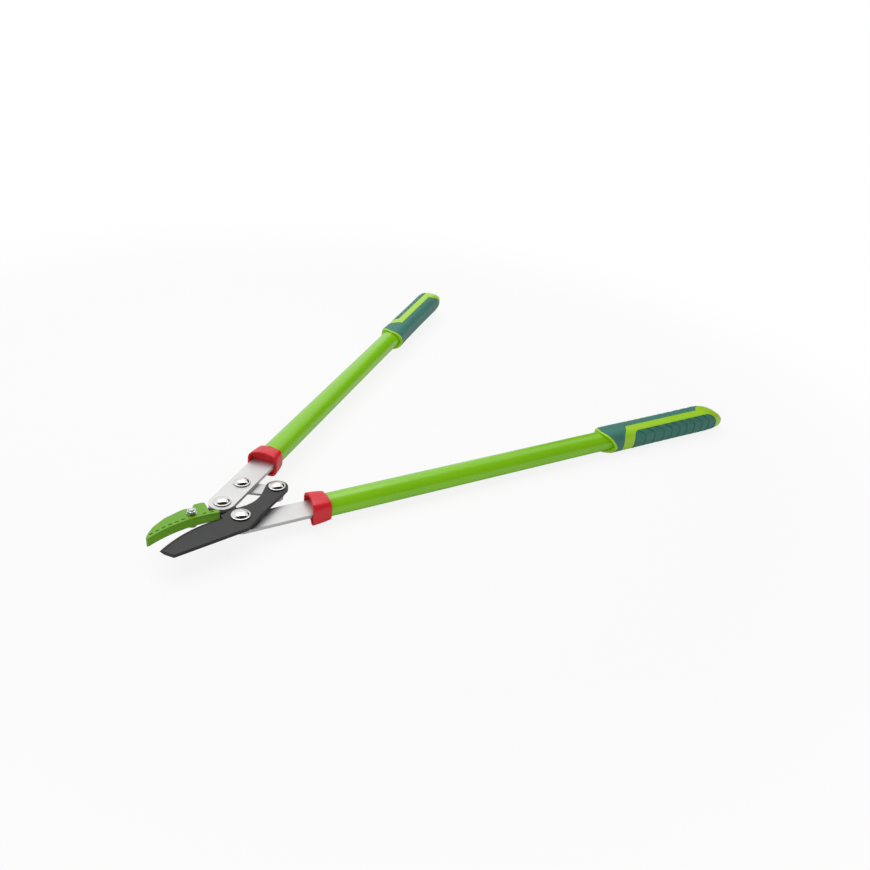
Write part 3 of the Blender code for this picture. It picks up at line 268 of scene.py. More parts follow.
def grid_faces(rows, columns, wrap):
    """Quads between neighbouring points of a grid, joined round its columns where wrap is true."""
    last = columns if wrap else columns - 1
    row, column = np.meshgrid(np.arange(rows - 1), np.arange(last), indexing="ij")
    after = (column + 1) % columns
    here = row * columns
    ahead = here + columns
    corners = [here + column, here + after, ahead + after, ahead + column]
    return np.stack(corners, axis=-1).reshape(-1, 4)


def add_surface(name, grid, wrap, sharp=35.0, faces=None):
    """Make a mesh object from a grid of points, close its seams and poles and turn its faces outwards."""
    rows, columns = grid.shape[:2]
    quads = grid_faces(rows, columns, wrap) if faces is None else faces
    mesh = bpy.data.meshes.new(name)
    mesh.from_pydata(grid.reshape(-1, 3).tolist(), [], quads.tolist())
    shell = bmesh.new()
    shell.from_mesh(mesh)
    bmesh.ops.remove_doubles(shell, verts=shell.verts, dist=MERGE_DISTANCE)
    bmesh.ops.recalc_face_normals(shell, faces=shell.faces)
    shell.to_mesh(mesh)
    shell.free()
    mesh.shade_smooth()
    mesh.set_sharp_from_angle(angle=math.radians(sharp))
    piece = bpy.data.objects.new(name, mesh)
    bpy.context.scene.collection.objects.link(piece)
    return piece


def moulded_plastic(name, light, dark, roughness, grain, depth):
    """Moulded plastic: an even body colour, a fine spark-eroded grain and faint flow marks.

    The real grain is about 0.1 mm across. The grain given here is coarser, so that the render shows it.
    """
    finish, tree, shader, place = new_finish(name)
    flow_size = 0.0167
    flow = add_node(tree, "ShaderNodeTexNoise", {"Vector": place, "Scale": 1.0 / flow_size, "Detail": 2.0})
    speck = add_node(tree, "ShaderNodeTexNoise", {"Vector": place, "Scale": 1.0 / grain, "Detail": 2.0})
    colour = add_node(tree, "ShaderNodeMix", {
        "Factor": flow.outputs["Fac"], "A": linear(dark), "B": linear(light),
    }, data_type="RGBA")
    rough = add_node(tree, "ShaderNodeMapRange", {
        "Value": flow.outputs["Fac"], "From Min": 0.3, "From Max": 0.7,
        "To Min": roughness - 0.05, "To Max": roughness + 0.05,
    })
    bump = add_node(tree, "ShaderNodeBump", {
        "Height": speck.outputs["Fac"], "Strength": 0.3, "Distance": depth,
    })
    feed(shader, {
        "Base Color": colour.outputs["Result"], "Roughness": rough.outputs["Result"],
        "Normal": bump.outputs["Normal"], "IOR": 1.49,
    })
    return finish


def ring_at(along, radius, turn):
    """One ring of own coordinates: a place along the handle, and a radius at each turn from straight up."""
    return np.stack([np.full(len(turn), along), radius * np.sin(turn), radius * np.cos(turn)], axis=-1)


def collar(handle, finish):
    """The ring's skin as a profile carried round a squircle.

    Each point of the profile has its along and its inset from the squircle: it runs from the sunk floor
    out to the lip, over it, back along the outside, and in to the tube. The lip leans back towards the
    handle's inner side, and dips on the top and the bottom.
    """
    low, high = handle.extent("collar")
    bar_low, bar_high = handle.extent("bar")
    tube_low, tube_high = handle.extent("tube")
    start, end = low[0], high[0]
    half_width = (high[1] - low[1]) / 2
    half_height = (high[2] - low[2]) / 2
    middle = (low[1] + high[1]) / 2
    length = end - start
    turn = np.linspace(0.0, math.tau, COLLAR_AROUND, endpoint=False)
    lip = np.linspace(0.0, math.pi, 9)
    half_lip = COLLAR_LIP_WIDTH / 2
    back = np.linspace(0.0, math.pi / 2, 6)
    floor = COLLAR_FLOOR_DEPTH + COLLAR_LIP_ROUND
    inner_lip = [(floor, COLLAR_LIP_WIDTH + COLLAR_FLOOR_DROP), (floor - COLLAR_LIP_INSIDE, COLLAR_LIP_WIDTH)]
    over_lip = [(COLLAR_LIP_ROUND * (1.0 - math.sin(a)), half_lip * (1.0 + math.cos(a))) for a in lip]
    side = [(share * length, COLLAR_TAPER * share ** 1.5) for share in (0.15, 0.3, 0.45, 0.6, 0.75)]
    edge = length - COLLAR_BACK_ROUND
    round_back = [
        (edge + COLLAR_BACK_ROUND * math.sin(a), COLLAR_TAPER + COLLAR_BACK_ROUND * (1 - math.cos(a)))
        for a in back
    ]
    profile = np.array(inner_lip + over_lip + side + round_back)
    along = np.repeat(profile[:, :1], COLLAR_AROUND, axis=1)
    inset = profile[:, 1:2]
    radius = squircle_radius(turn, half_width, half_height, COLLAR_SQUARENESS)[None, :]
    across = (radius - inset) * np.sin(turn)
    up = (radius - inset) * np.cos(turn)
    outer = np.clip(-across / half_width, -1.0, 1.0)
    reach = (1.0 - along / length).clip(0.0, 1.0)
    lean = COLLAR_LEAN * (1.0 - outer) * reach
    dip = COLLAR_LIP_DIP * np.cos(turn) ** 4 * (1.0 - (across / half_width) ** 2) * reach ** 2
    skin = np.stack([start + along + lean + dip, middle + across, up], axis=-1)

    bar_half = (bar_high - bar_low) / 2 + FIT
    slot_radius = squircle_radius(turn, bar_half[1], bar_half[2], SLOT_SQUARENESS)
    slot = ring_at(skin[0, :, 0].max(), slot_radius, turn)
    slot_end = slot + np.array([COLLAR_SLOT_DEPTH, 0.0, 0.0])
    floor_edge = skin[0] + np.array([COLLAR_FLOOR_FALL, 0.0, 0.0])
    tube_half = (tube_high - tube_low) / 2 + FIT
    bore_radius = squircle_radius(turn, tube_half[1], tube_half[2], OVAL_SQUARENESS)
    bore = ring_at(end, bore_radius, turn)
    bore_end = bore - np.array([COLLAR_BORE_DEPTH, 0.0, 0.0])
    rows = np.concatenate([slot_end[None], slot[None], floor_edge[None], skin, bore[None], bore_end[None]])
    grid = handle.to_row(rows[..., 0], rows[..., 1], rows[..., 2])
    piece = add_surface(handle.prefix + "_collar_moulding", grid, True, 50.0)
    return dress(piece, finish, handle.body, [handle.prefix + "_collar"])


hinge = next(joint for joint in frame["joints"] if joint["name"] == "handle_hinge")
lower = Handle("lower", "fixed_handle", (0.0, 0.0), 0.0, 1.0)
upper = Handle("upper", "moving_handle", hinge["pos_m"][:2], UPPER_HANDLE_ANGLE, -1.0)
red = moulded_plastic("red_polypropylene_moulding", "#EA1E2C", "#DC1422", 0.30, 0.0009, 0.00004)
for handle in (lower, upper):
    collar(handle, red)


# Tubes: drawn steel tube with a flattened round section, powder coated in glossy lime.
# The coat gives a soft gloss with a fine orange peel, and the ends vanish in collar and grip.
TUBE_AROUND = 96
TUBE_ALONG = 60
TUBE_WALL = 0.0015
PEEL_SIZE = 0.0022


def lime_powder_coat():
    """Glossy powder coat: a strong clear lime under a slightly rippled skin."""
    finish, tree, shader, place = new_finish("lime_powder_coat")
    drift_size = 0.0714
    drift = add_node(tree, "ShaderNodeTexNoise", {"Vector": place, "Scale": 1.0 / drift_size, "Detail": 3.0})
    colour = add_node(tree, "ShaderNodeMix", {
        "Factor": drift.outputs["Fac"], "A": linear("#84CE00"), "B": linear("#92D804"),
    }, data_type="RGBA")
    peel = add_node(tree, "ShaderNodeTexNoise", {"Vector": place, "Scale": 1.0 / PEEL_SIZE, "Detail": 1.0})
    bump = add_node(tree, "ShaderNodeBump", {
        "Height": peel.outputs["Fac"], "Strength": 0.35, "Distance": 0.00006,
    })
    feed(shader, {
        "Base Color": colour.outputs["Result"], "Normal": bump.outputs["Normal"],
        "Roughness": 0.27, "IOR": 1.52, "Coat Weight": 0.2, "Coat Roughness": 0.12,
    })
    return finish


def tube(handle, finish):
    """An oval carried along the handle, out along the outer wall and back along the inner wall."""
    low, high = handle.extent("tube")
    turn = np.linspace(0.0, math.tau, TUBE_AROUND, endpoint=False)
    outer_run = np.linspace(low[0], high[0], TUBE_ALONG)
    run = np.concatenate([outer_run, outer_run[::-1], outer_run[:1]])
    wall = np.concatenate([np.zeros(TUBE_ALONG), np.full(TUBE_ALONG, TUBE_WALL), [0.0]])
    half_width = (high[1] - low[1]) / 2 - wall
    half_height = (high[2] - low[2]) / 2 - wall
    along = np.repeat(run[:, None], TUBE_AROUND, axis=1)
    across = half_width[:, None] * np.sin(turn)
    up = half_height[:, None] * np.cos(turn)
    piece = add_surface(handle.prefix + "_tube_drawn", handle.to_row(along, across, up), True, 50.0)
    return dress(piece, finish, handle.body, [handle.prefix + "_tube"])


lime_coat = lime_powder_coat()
for handle in (lower, upper):
    tube(handle, lime_coat)


# Grip cores: hard lime plastic, moulded over the end of the tube, with shallow beds for the soft panels.
# A rounded lip shows at the slanted mouth, a stripe runs along the top and the underside, and a bulb
# closes the end. The lower grip sits turned on its tube, so that its stripe faces outwards and up.
GRIP_LENGTH = 0.1980
GRIP_HALF_WIDTH = 0.0165
GRIP_HALF_HEIGHT = 0.0149
GRIP_MEAN_RADIUS = (GRIP_HALF_WIDTH + GRIP_HALF_HEIGHT) / 2
GRIP_SQUARENESS = 2.7
GRIP_FLARE = 0.0012
GRIP_WAIST = 0.0007
GRIP_NOSE_LENGTH = 0.0430
GRIP_NOSE_DROP = 0.0070
GRIP_NOSE_SQUARENESS = 2.3
GRIP_NOSE_TALL_SQUARENESS = 1.8
GRIP_NOSE_FLAT = 0.12
GRIP_TIP_LENGTH = 0.0140
GRIP_RECESS_DEPTH = 0.0140
GRIP_TURNS = {"lower": math.radians(-25.0), "upper": 0.0}
FLANGE_LENGTH = 0.0030
FLANGE_STEP = 0.0006
LIP_ROUND = 0.0007
LIP_RECESS = 0.0010
RING_END = 0.0275
STRIP_END = 0.1490
PAD_START = 0.0442
PAD_END = 0.1775
STRIPE_HALF = math.radians(18.0)
PAD_HALF = math.pi / 2 - STRIPE_HALF
PAD_MIDDLE = 1.5 * math.pi
MOUTH_SET_BACK = 0.0013
MOUTH_LEAN = 0.0037
MOUTH_REACH = 0.0104
MOUTH_TURN = math.radians(10.0)
MOUTH_SIDE_ROUND = 0.25
RING_LEAN = 0.0092
RING_LEAN_FADE = 0.0420
RING_LEAN_FULL = math.radians(40.0)
STRIP_END_LEAN = 0.0260
STRIP_END_LEAN_RUN = 0.0500
STRIP_END_CURVE = 2.4
BED_DEPTH = 0.0019
SEAM = 0.0003
GRIP_AROUND = 200
GRIP_STEP = 0.0010


def ramp(distance, width):
    """Rise smoothly from 0 to 1 over a width, starting where the distance is 0."""
    share = np.clip(distance / width, 0.0, 1.0)
    return share * share * (3.0 - 2.0 * share)


def front_lean(station, turn):
    """How far a point near the grip's mouth or ring is moved along it, from its station and its turn.

    The mouth reaches forward near both stripes as a rounded cosine of the turn, and a little on the inner
    side as its sine. Behind the ring the lines lean forward on the outer side.
    """
    towards_inner = np.arcsin(np.sin(turn))
    outer_share = ramp(STRIPE_HALF - towards_inner, STRIPE_HALF + RING_LEAN_FULL)
    highest = math.hypot(1.0, MOUTH_SIDE_ROUND) - MOUTH_SIDE_ROUND
    rounded_cosine = (np.hypot(np.cos(turn - MOUTH_TURN), MOUTH_SIDE_ROUND) - MOUTH_SIDE_ROUND) / highest
    mouth = MOUTH_SET_BACK - MOUTH_LEAN * np.sin(turn) - MOUTH_REACH * rounded_cosine
    mouth_fade = np.interp(station, (FLANGE_LENGTH, RING_END), (1.0, 0.0))
    ring_stops = (FLANGE_LENGTH, RING_END, PAD_START, PAD_START + RING_LEAN_FADE)
    return mouth_fade * mouth - np.interp(station, ring_stops, (0.0, RING_LEAN, RING_LEAN, 0.0)) * outer_share


def end_lean(station, turn):
    """How far a point near the inner strip's end is moved back, rising with the sine of its turn."""
    low = math.sin(STRIPE_HALF)
    inner_share = np.clip((np.sin(turn) - low) / (1.0 - low), 0.0, 1.0) ** STRIP_END_CURVE
    stops = (STRIP_END - STRIP_END_LEAN_RUN, STRIP_END, GRIP_LENGTH)
    return np.interp(station, stops, (0.0, STRIP_END_LEAN, 0.0)) * inner_share


def grip_skin(handle, station, turn, lift):
    """Points on the grip's skin, raised by a lift, from a station along it and a turn off the stripe.

    Its section is a squircle. The half sizes flare towards the front ring, draw in a little at the
    waist and close over the nose as a superellipse does, while the middle drops towards the tip.
    """
    origin = handle.extent("grip_core")[1][0] - GRIP_LENGTH
    nose_start = GRIP_LENGTH - GRIP_NOSE_LENGTH
    place = station + end_lean(station, turn)
    share = np.clip((place - nose_start) / GRIP_NOSE_LENGTH, 0.0, 1.0)
    wide, tall = [
        GRIP_NOSE_FLAT + (1.0 - GRIP_NOSE_FLAT) * (1.0 - share ** power) ** (1.0 / power)
        for power in (GRIP_NOSE_SQUARENESS, GRIP_NOSE_TALL_SQUARENESS)
    ]
    flare = GRIP_FLARE * np.clip(1.0 - place / RING_END, 0.0, 1.0) ** 2
    waist = GRIP_WAIST * np.sin(math.pi * np.clip(place / nose_start, 0.0, 1.0))
    half_width = (GRIP_HALF_WIDTH - waist + flare) * wide
    half_height = (GRIP_HALF_HEIGHT - flare) * tall
    upright = turn + GRIP_TURNS[handle.prefix]
    reach = squircle_radius(upright, half_width, half_height, GRIP_SQUARENESS)
    reach = reach + lift * np.minimum(1.0, 2.0 * tall)
    along = origin + place + front_lean(station, turn)
    up = reach * np.cos(upright) - GRIP_NOSE_DROP * share ** 2
    return handle.to_row(along, reach * np.sin(upright), up)


def around_distance(turn, low, high):
    """How far inside the turns from low to high a turn lies, measured along the skin."""
    return np.minimum(turn - low, high - turn) * GRIP_MEAN_RADIUS


def pad_half_turn(station):
    """Half of the turn that the outer pad covers at a station, less at its two rounded ends."""
    front_corner = 0.0035
    front_narrowing = 0.14
    back_corner = 0.0190
    back_narrowing = 0.76
    front = np.clip((PAD_START + front_corner - station) / front_corner, 0.0, 1.0)
    back = np.clip((station - PAD_END + back_corner) / back_corner, 0.0, 1.0)
    narrowed = PAD_HALF * (1.0 - front_narrowing * (1.0 - np.sqrt(1.0 - front ** 2)))
    return narrowed * (1.0 - back_narrowing * (1.0 - np.sqrt(1.0 - back ** 2)))


def follow_pad(station, turn):
    """Move the turns of a grid so that its lines at the pad's edges follow the rounded outline."""
    half = pad_half_turn(station)
    off_middle = turn - PAD_MIDDLE
    off_middle = np.where(off_middle < -math.pi, off_middle + math.tau, off_middle)
    size = np.abs(off_middle)
    far = PAD_HALF + 2.0 * STRIPE_HALF
    outside = half + (size - PAD_HALF) * (far - half) / (far - PAD_HALF)
    moved = np.where(size < PAD_HALF, size * half / PAD_HALF, np.where(size < far, outside, size))
    followed = PAD_MIDDLE + np.sign(off_middle) * moved
    return np.where(turn < math.pi / 2, followed - math.tau, followed)


def grip_core(handle, finish):
    """The core's skin, sunk by the beds' depth where a soft panel lies, with a rounded lip at its mouth."""
    lip = LIP_ROUND * (1.0 - np.cos(np.linspace(0.0, math.pi / 2, 7)))
    even = np.arange(LIP_ROUND, GRIP_LENGTH, GRIP_STEP)
    nose = GRIP_LENGTH - GRIP_TIP_LENGTH * (1.0 - np.sin(np.linspace(0.0, math.pi / 2, 30)))
    edges = [(FLANGE_LENGTH, SEAM), (RING_END, -SEAM), (STRIP_END, -SEAM)]
    edges += [(PAD_START, SEAM), (PAD_END, -SEAM)]
    near = [edge + step for edge, inside in edges for step in (0.0, inside)]
    station = np.unique(np.round(np.concatenate([lip, even, nose, near]), 6))
    spread = np.linspace(0.0, math.tau, GRIP_AROUND, endpoint=False)
    margin = SEAM / GRIP_MEAN_RADIUS
    sides = [(STRIPE_HALF, margin), (math.pi - STRIPE_HALF, -margin)]
    sides += [(math.pi + STRIPE_HALF, margin), (math.tau - STRIPE_HALF, -margin)]
    close = [side + step for side, inside in sides for step in (0.0, inside)]
    turn = np.unique(np.round(np.concatenate([spread, close]), 6))
    s, base = np.meshgrid(station, turn, indexing="ij")
    t = follow_pad(s, base)
    ring = np.minimum(s - FLANGE_LENGTH, RING_END - s)
    strip = np.minimum(STRIP_END - s, around_distance(t, STRIPE_HALF, math.pi - STRIPE_HALF))
    strip = np.where(s < FLANGE_LENGTH, -1.0, strip)
    half = pad_half_turn(s)
    pad = around_distance(t, PAD_MIDDLE - half, PAD_MIDDLE + half)
    pad = np.minimum(np.minimum(s - PAD_START, PAD_END - s), pad)
    bed = np.maximum(np.maximum(ring, strip), pad)
    off_lip = np.clip(1.0 - s / LIP_ROUND, 0.0, 1.0)
    lift = -BED_DEPTH * ramp(bed, SEAM) - LIP_ROUND * (1.0 - np.sqrt(1.0 - off_lip ** 2))
    lift = np.where(s < FLANGE_LENGTH + SEAM / 2, lift - FLANGE_STEP, lift)
    skin = grip_skin(handle, s, t, lift)

    tube_low, tube_high = handle.extent("tube")
    tube_half = (tube_high - tube_low) / 2 + FIT
    upright = turn + GRIP_TURNS[handle.prefix]
    bore = squircle_radius(upright, tube_half[1], tube_half[2], OVAL_SQUARENESS)
    mouth = handle.extent("grip_core")[1][0] - GRIP_LENGTH + front_lean(np.zeros(len(turn)), turn)
    recess = [(GRIP_RECESS_DEPTH, 0.0), (GRIP_RECESS_DEPTH, 1.0), (LIP_RECESS, 1.0)]
    inside = [handle.to_row(mouth + deep, share * bore * np.sin(upright), share * bore * np.cos(upright))
              for deep, share in recess]
    tip = skin[-1:].mean(axis=1, keepdims=True).repeat(len(turn), axis=1)
    grid = np.concatenate([inside, skin, tip])
    piece = add_surface(handle.prefix + "_grip_core_moulding", grid, True, 40.0)
    return dress(piece, finish, handle.body, [handle.prefix + "_grip_core"])


lime_plastic = moulded_plastic("lime_polypropylene_core", "#B4E82C", "#A8E01E", 0.34, 0.0007, 0.00003)
for handle in (lower, upper):
    grip_core(handle, lime_plastic)


# Soft sleeves: teal thermoplastic rubber moulded into the core's beds as one piece. A ring goes all round
# behind the lip, with an incised crease on each flank, and a faintly ribbed strip runs on along the
# inner side.
SLEEVE_THICKNESS = 0.0016
SOFT_EDGE = 0.0010
SOFT_DROP = 0.7
EDGE_STEPS = np.array([0.0, 0.0001, 0.0003, 0.0006, 0.0010])
RIB_FIRST = 0.0400
RIB_PITCH = 0.0100
RIB_COUNT = 12
RIB_DEPTH = 0.0004
RIB_WIDTH = 0.0014
RIB_WAVE = 0.0030
RIB_SLANT = 0.0080
RIB_WAVES = 3.0
CREASE_TURNS = (math.radians(12.0), math.radians(66.0))
CREASE_SHARES = (0.82, 0.38)
CREASE_CURVE = 1.3
CREASE_FADES = (0.12, 0.35)
CREASE_DEPTH = 0.0006
CREASE_WIDTH = 0.0006
SLEEVE_STEP = 0.0006
SLEEVE_AROUND = 120


def soft_rubber(name, light, dark):
    """Thermoplastic rubber: a dull skin with a fine leather-like grain and a dusty sheen at the edges.

    The real grain is about 0.3 mm across. It is drawn at 0.8 mm, so that the render shows it.
    """
    finish, tree, shader, place = new_finish(name)
    grain_size = 0.0008
    cloud_size = 0.0111
    cloud = add_node(tree, "ShaderNodeTexNoise", {"Vector": place, "Scale": 1.0 / cloud_size, "Detail": 3.0})
    cell = add_node(tree, "ShaderNodeTexVoronoi", {"Vector": place, "Scale": 1.0 / grain_size})
    colour = add_node(tree, "ShaderNodeMix", {
        "Factor": cloud.outputs["Fac"], "A": linear(dark), "B": linear(light),
    }, data_type="RGBA")
    bump = add_node(tree, "ShaderNodeBump", {
        "Height": cell.outputs["Distance"], "Strength": 0.5, "Distance": 0.00008,
    })
    rough = add_node(tree, "ShaderNodeMapRange", {
        "Value": cloud.outputs["Fac"], "From Min": 0.3, "From Max": 0.7, "To Min": 0.50, "To Max": 0.64,
    })
    feed(shader, {
        "Base Color": colour.outputs["Result"], "Roughness": rough.outputs["Result"],
        "Normal": bump.outputs["Normal"], "Sheen Weight": 0.12, "Sheen Roughness": 0.45, "IOR": 1.50,
    })
    return finish


def add_wall(piece, thickness):
    """Give an open skin its wall, inwards, with a closed rim."""
    wall = piece.modifiers.new("wall", "SOLIDIFY")
    wall.thickness = thickness
    wall.offset = -1.0
    wall.use_rim = True
    return wall


def groove(distance, width, depth):
    """A rounded groove: deepest where the distance is 0 and fading over a width."""
    return -depth * np.exp(-(distance / width) ** 2)


def nearest_groove(along, first, pitch, count):
    """Distance along the grip to the nearest of a row of equal grooves."""
    index = np.clip(np.round((along - first) / pitch), 0, count - 1)
    return along - first - index * pitch


def soft_edge(distance):
    """Drop of a soft panel's rounded rim at a distance from its edge."""
    off_edge = 1.0 - np.clip(distance / SOFT_EDGE, 0.0, 1.0)
    return SOFT_DROP * SOFT_EDGE * (1.0 - np.sqrt(1.0 - off_edge ** 2))


def ring_creases(station, turn):
    """Lift of the creases that curve across both flanks of the ring, down from beside the top stripe.

    Each runs towards the mouth with a power of its way down, and fades out at both of its ends.
    """
    off_top = np.minimum(turn, math.tau - turn)
    start, end = CREASE_TURNS
    way = np.clip((off_top - start) / (end - start), 0.0, 1.0)
    share = CREASE_SHARES[0] + (CREASE_SHARES[1] - CREASE_SHARES[0]) * way ** CREASE_CURVE
    line = FLANGE_LENGTH + (RING_END - FLANGE_LENGTH) * share
    fade = ramp(way, CREASE_FADES[0]) * ramp(1.0 - way, CREASE_FADES[1])
    return groove(station - line, CREASE_WIDTH, CREASE_DEPTH) * fade


def grip_sleeve(handle, finish):
    """Ring and strip on one grid: the strip keeps only the cells between its two edges."""
    start = FLANGE_LENGTH
    end = STRIP_END - SEAM
    even = np.arange(start + 2.5 * SLEEVE_STEP, end - 2.0 * SLEEVE_STEP, SLEEVE_STEP)
    just_behind_ring = [RING_END + 0.0002]
    stations = [even, start + EDGE_STEPS, RING_END - EDGE_STEPS, end - EDGE_STEPS, just_behind_ring]
    station = np.unique(np.round(np.concatenate(stations), 6))
    inner_low = STRIPE_HALF + SEAM / GRIP_MEAN_RADIUS
    inner_high = math.pi - inner_low
    turn_steps = EDGE_STEPS / GRIP_MEAN_RADIUS
    spread = np.linspace(0.0, math.tau, SLEEVE_AROUND, endpoint=False)
    turns = np.concatenate([spread, inner_low + turn_steps, inner_high - turn_steps])
    turn = np.unique(np.round(turns, 6))
    s, t = np.meshgrid(station, turn, indexing="ij")
    side = around_distance(t, inner_low, inner_high)
    beyond_ring = RING_END - s
    to_side = np.where(side > 0, np.maximum(side, beyond_ring), beyond_ring)
    edge = np.minimum(np.minimum(s - start, end - s), to_side)
    wave = RIB_WAVE * np.sin(RIB_WAVES * t) + RIB_SLANT * (t / math.pi - 0.5)
    ribs = nearest_groove(s + wave, RIB_FIRST, RIB_PITCH, RIB_COUNT)
    lift = groove(ribs, RIB_WIDTH, RIB_DEPTH) * ramp(s - RING_END, RIB_PITCH)
    lift = lift - soft_edge(edge) + ring_creases(s, t)
    grid = grip_skin(handle, s, t, lift)
    quads = grid_faces(len(station), len(turn), True)
    row, column = quads[:, 0] // len(turn), quads[:, 0] % len(turn)
    mid_station = (station[row] + station[np.minimum(row + 1, len(station) - 1)]) / 2
    after = np.append(turn[1:], math.tau)
    mid_turn = (turn[column] + after[column]) / 2
    keep = (mid_station < RING_END) | ((mid_turn > inner_low) & (mid_turn < inner_high))
    piece = add_surface(handle.prefix + "_grip_sleeve_moulding", grid, True, 60.0, quads[keep])
    add_wall(piece, SLEEVE_THICKNESS)
    return dress(piece, finish, handle.body, [handle.prefix + "_grip_sleeve"])


teal_rubber = soft_rubber("teal_soft_rubber", "#3D887A", "#33786B")
for handle in (lower, upper):
    grip_sleeve(handle, teal_rubber)


# Outer pads: the same rubber in a bed of its own on the outer side, where the palm presses.
# Curved grooves cross it: each sweeps back from the pad's upper and lower edges and crosses its middle
# square to the grip.
PAD_GROOVES = 12
PAD_GROOVE_FIRST = 0.0450
PAD_GROOVE_PITCH = 0.0129
PAD_GROOVE_SWEEP = 0.0135
PAD_GROOVE_BEND = 0.26
PAD_GROOVE_DEPTH = 0.0015
PAD_GROOVE_WIDTH = 0.0008
PAD_PROUD = 0.0003
PAD_ROUND_LENGTH = 0.0040
PAD_RIM_SHARE = 0.06
PAD_STEP = 0.0003
PAD_ACROSS = 56


def grip_pad(handle, finish):
    """Grid between the pad's two edges, crowned between its grooves and rounded at its rim."""
    start = PAD_START + SEAM
    end = PAD_END - SEAM
    ease = (1.0 - np.cos(np.linspace(0.0, math.pi / 2, 14))) * PAD_ROUND_LENGTH
    even = np.arange(start + PAD_ROUND_LENGTH, end - PAD_ROUND_LENGTH, PAD_STEP)
    station = np.unique(np.round(np.concatenate([start + ease, even, end - ease]), 6))
    rim = np.linspace(0.0, PAD_RIM_SHARE, 8)
    between = np.linspace(PAD_RIM_SHARE, 1.0 - PAD_RIM_SHARE, PAD_ACROSS)[1:-1]
    share = np.concatenate([rim, between, 1.0 - rim[::-1]])
    s = np.repeat(station[:, None], len(share), axis=1)
    half = pad_half_turn(s) - SEAM / GRIP_MEAN_RADIUS
    t = PAD_MIDDLE + half * (2.0 * share[None, :] - 1.0)
    to_side = around_distance(t, PAD_MIDDLE - half, PAD_MIDDLE + half)
    edge = np.minimum(np.minimum(s - start, end - s), to_side)
    inwards = np.clip((PAD_HALF - np.abs(t - PAD_MIDDLE)) / (2.0 * PAD_HALF * PAD_GROOVE_BEND), 0.0, 1.0)
    sweep = PAD_GROOVE_SWEEP * (1.0 - (1.0 - inwards) ** 2)
    off = nearest_groove(s - sweep, PAD_GROOVE_FIRST - PAD_GROOVE_PITCH, PAD_GROOVE_PITCH, PAD_GROOVES)
    crown = PAD_PROUD * np.clip(1.0 - (2.0 * off / PAD_GROOVE_PITCH) ** 2, 0.0, 1.0)
    lift = crown - soft_edge(edge) + groove(off, PAD_GROOVE_WIDTH, PAD_GROOVE_DEPTH)
    piece = add_surface(handle.prefix + "_grip_pad_moulding", grip_skin(handle, s, t, lift), False, 60.0)
    add_wall(piece, SLEEVE_THICKNESS)
    return dress(piece, finish, handle.body, [handle.prefix + "_grip_pad"])


for handle in (lower, upper):
    grip_pad(handle, teal_rubber)


# Jaw plate and link: the plate is black oxide steel, cut from sheet, and holds the anvil and the upper
# handle's pivot. The link is a short zinc plated bar that pulls the blade's arm.
PLATE_EDGE_ROUND = 0.0003
OXIDE_SIZE = 0.00455

black_plate, tree, shader, place = new_finish("black_oxide_plate")
mill_scale = add_node(tree, "ShaderNodeTexNoise", {"Vector": place, "Scale": 1.0 / OXIDE_SIZE, "Detail": 5.0})
oxide = add_node(tree, "ShaderNodeMix", {
    "Factor": mill_scale.outputs["Fac"], "A": linear("#1C1C1D"), "B": linear("#303032"),
}, data_type="RGBA")
oxide_bump = add_node(tree, "ShaderNodeBump", {
    "Height": mill_scale.outputs["Fac"], "Strength": 0.3, "Distance": 0.00005,
})
feed(shader, {
    "Base Color": oxide.outputs["Result"], "Normal": oxide_bump.outputs["Normal"],
    "Roughness": 0.42, "Metallic": 0.3,
})
eased_copy("jaw_plate", PLATE_EDGE_ROUND, black_plate, "fixed_handle")
link_low, link_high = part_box("link")
link_angle = -math.atan2(link_high.y - link_low.y, link_high.x - link_low.x)
link_steel = zinc_bar_steel("zinc_plated_link", link_angle)
eased_copy("link", BAR_EDGE_ROUND, link_steel, "drive_link")


# Blade: carbon steel plate with its arm in one piece, ground from both sides to the edge.
# A dark non-stick coat covers it, with a fine sprayed texture and faint paler clouds.
BLADE_EDGE_ROUND = 0.00022
BLADE_SHARP_ANGLE = 24.0
SPRAY_SIZE = 0.000455
COAT_CLOUD_SIZE = 0.0182

coated_blade, tree, shader, place = new_finish("non_stick_coated_blade")
fine = add_node(tree, "ShaderNodeTexNoise", {"Vector": place, "Scale": 1.0 / SPRAY_SIZE, "Detail": 2.0})
cloudy = add_node(tree, "ShaderNodeTexNoise", {
    "Vector": place, "Scale": 1.0 / COAT_CLOUD_SIZE, "Detail": 4.0,
})
coat_tone = add_node(tree, "ShaderNodeMix", {
    "Factor": cloudy.outputs["Fac"], "A": linear("#1C1C1D"), "B": linear("#2B2B2D"),
}, data_type="RGBA")
coat_rough = add_node(tree, "ShaderNodeMapRange", {
    "Value": cloudy.outputs["Fac"], "From Min": 0.3, "From Max": 0.7, "To Min": 0.42, "To Max": 0.54,
})
coat_bump = add_node(tree, "ShaderNodeBump", {
    "Height": fine.outputs["Fac"], "Strength": 0.35, "Distance": 0.00003,
})
feed(shader, {
    "Base Color": coat_tone.outputs["Result"], "Roughness": coat_rough.outputs["Result"],
    "Normal": coat_bump.outputs["Normal"], "IOR": 1.45,
})
eased_copy("blade", BLADE_EDGE_ROUND, coated_blade, "cutting_blade", BLADE_SHARP_ANGLE)


# Anvil: mild steel sheet, pressed to a curve, folded to a U, pierced with slots and painted green.
# The blade's edge lands on its face, and one screw through its tab holds it on the jaw plate.
ANVIL_EDGE_ROUND = 0.0003
ANVIL_SHARP_ANGLE = 25.0
PAINT_CLOUD_SIZE = 0.0143
PAINT_PEEL_SIZE = 0.0011

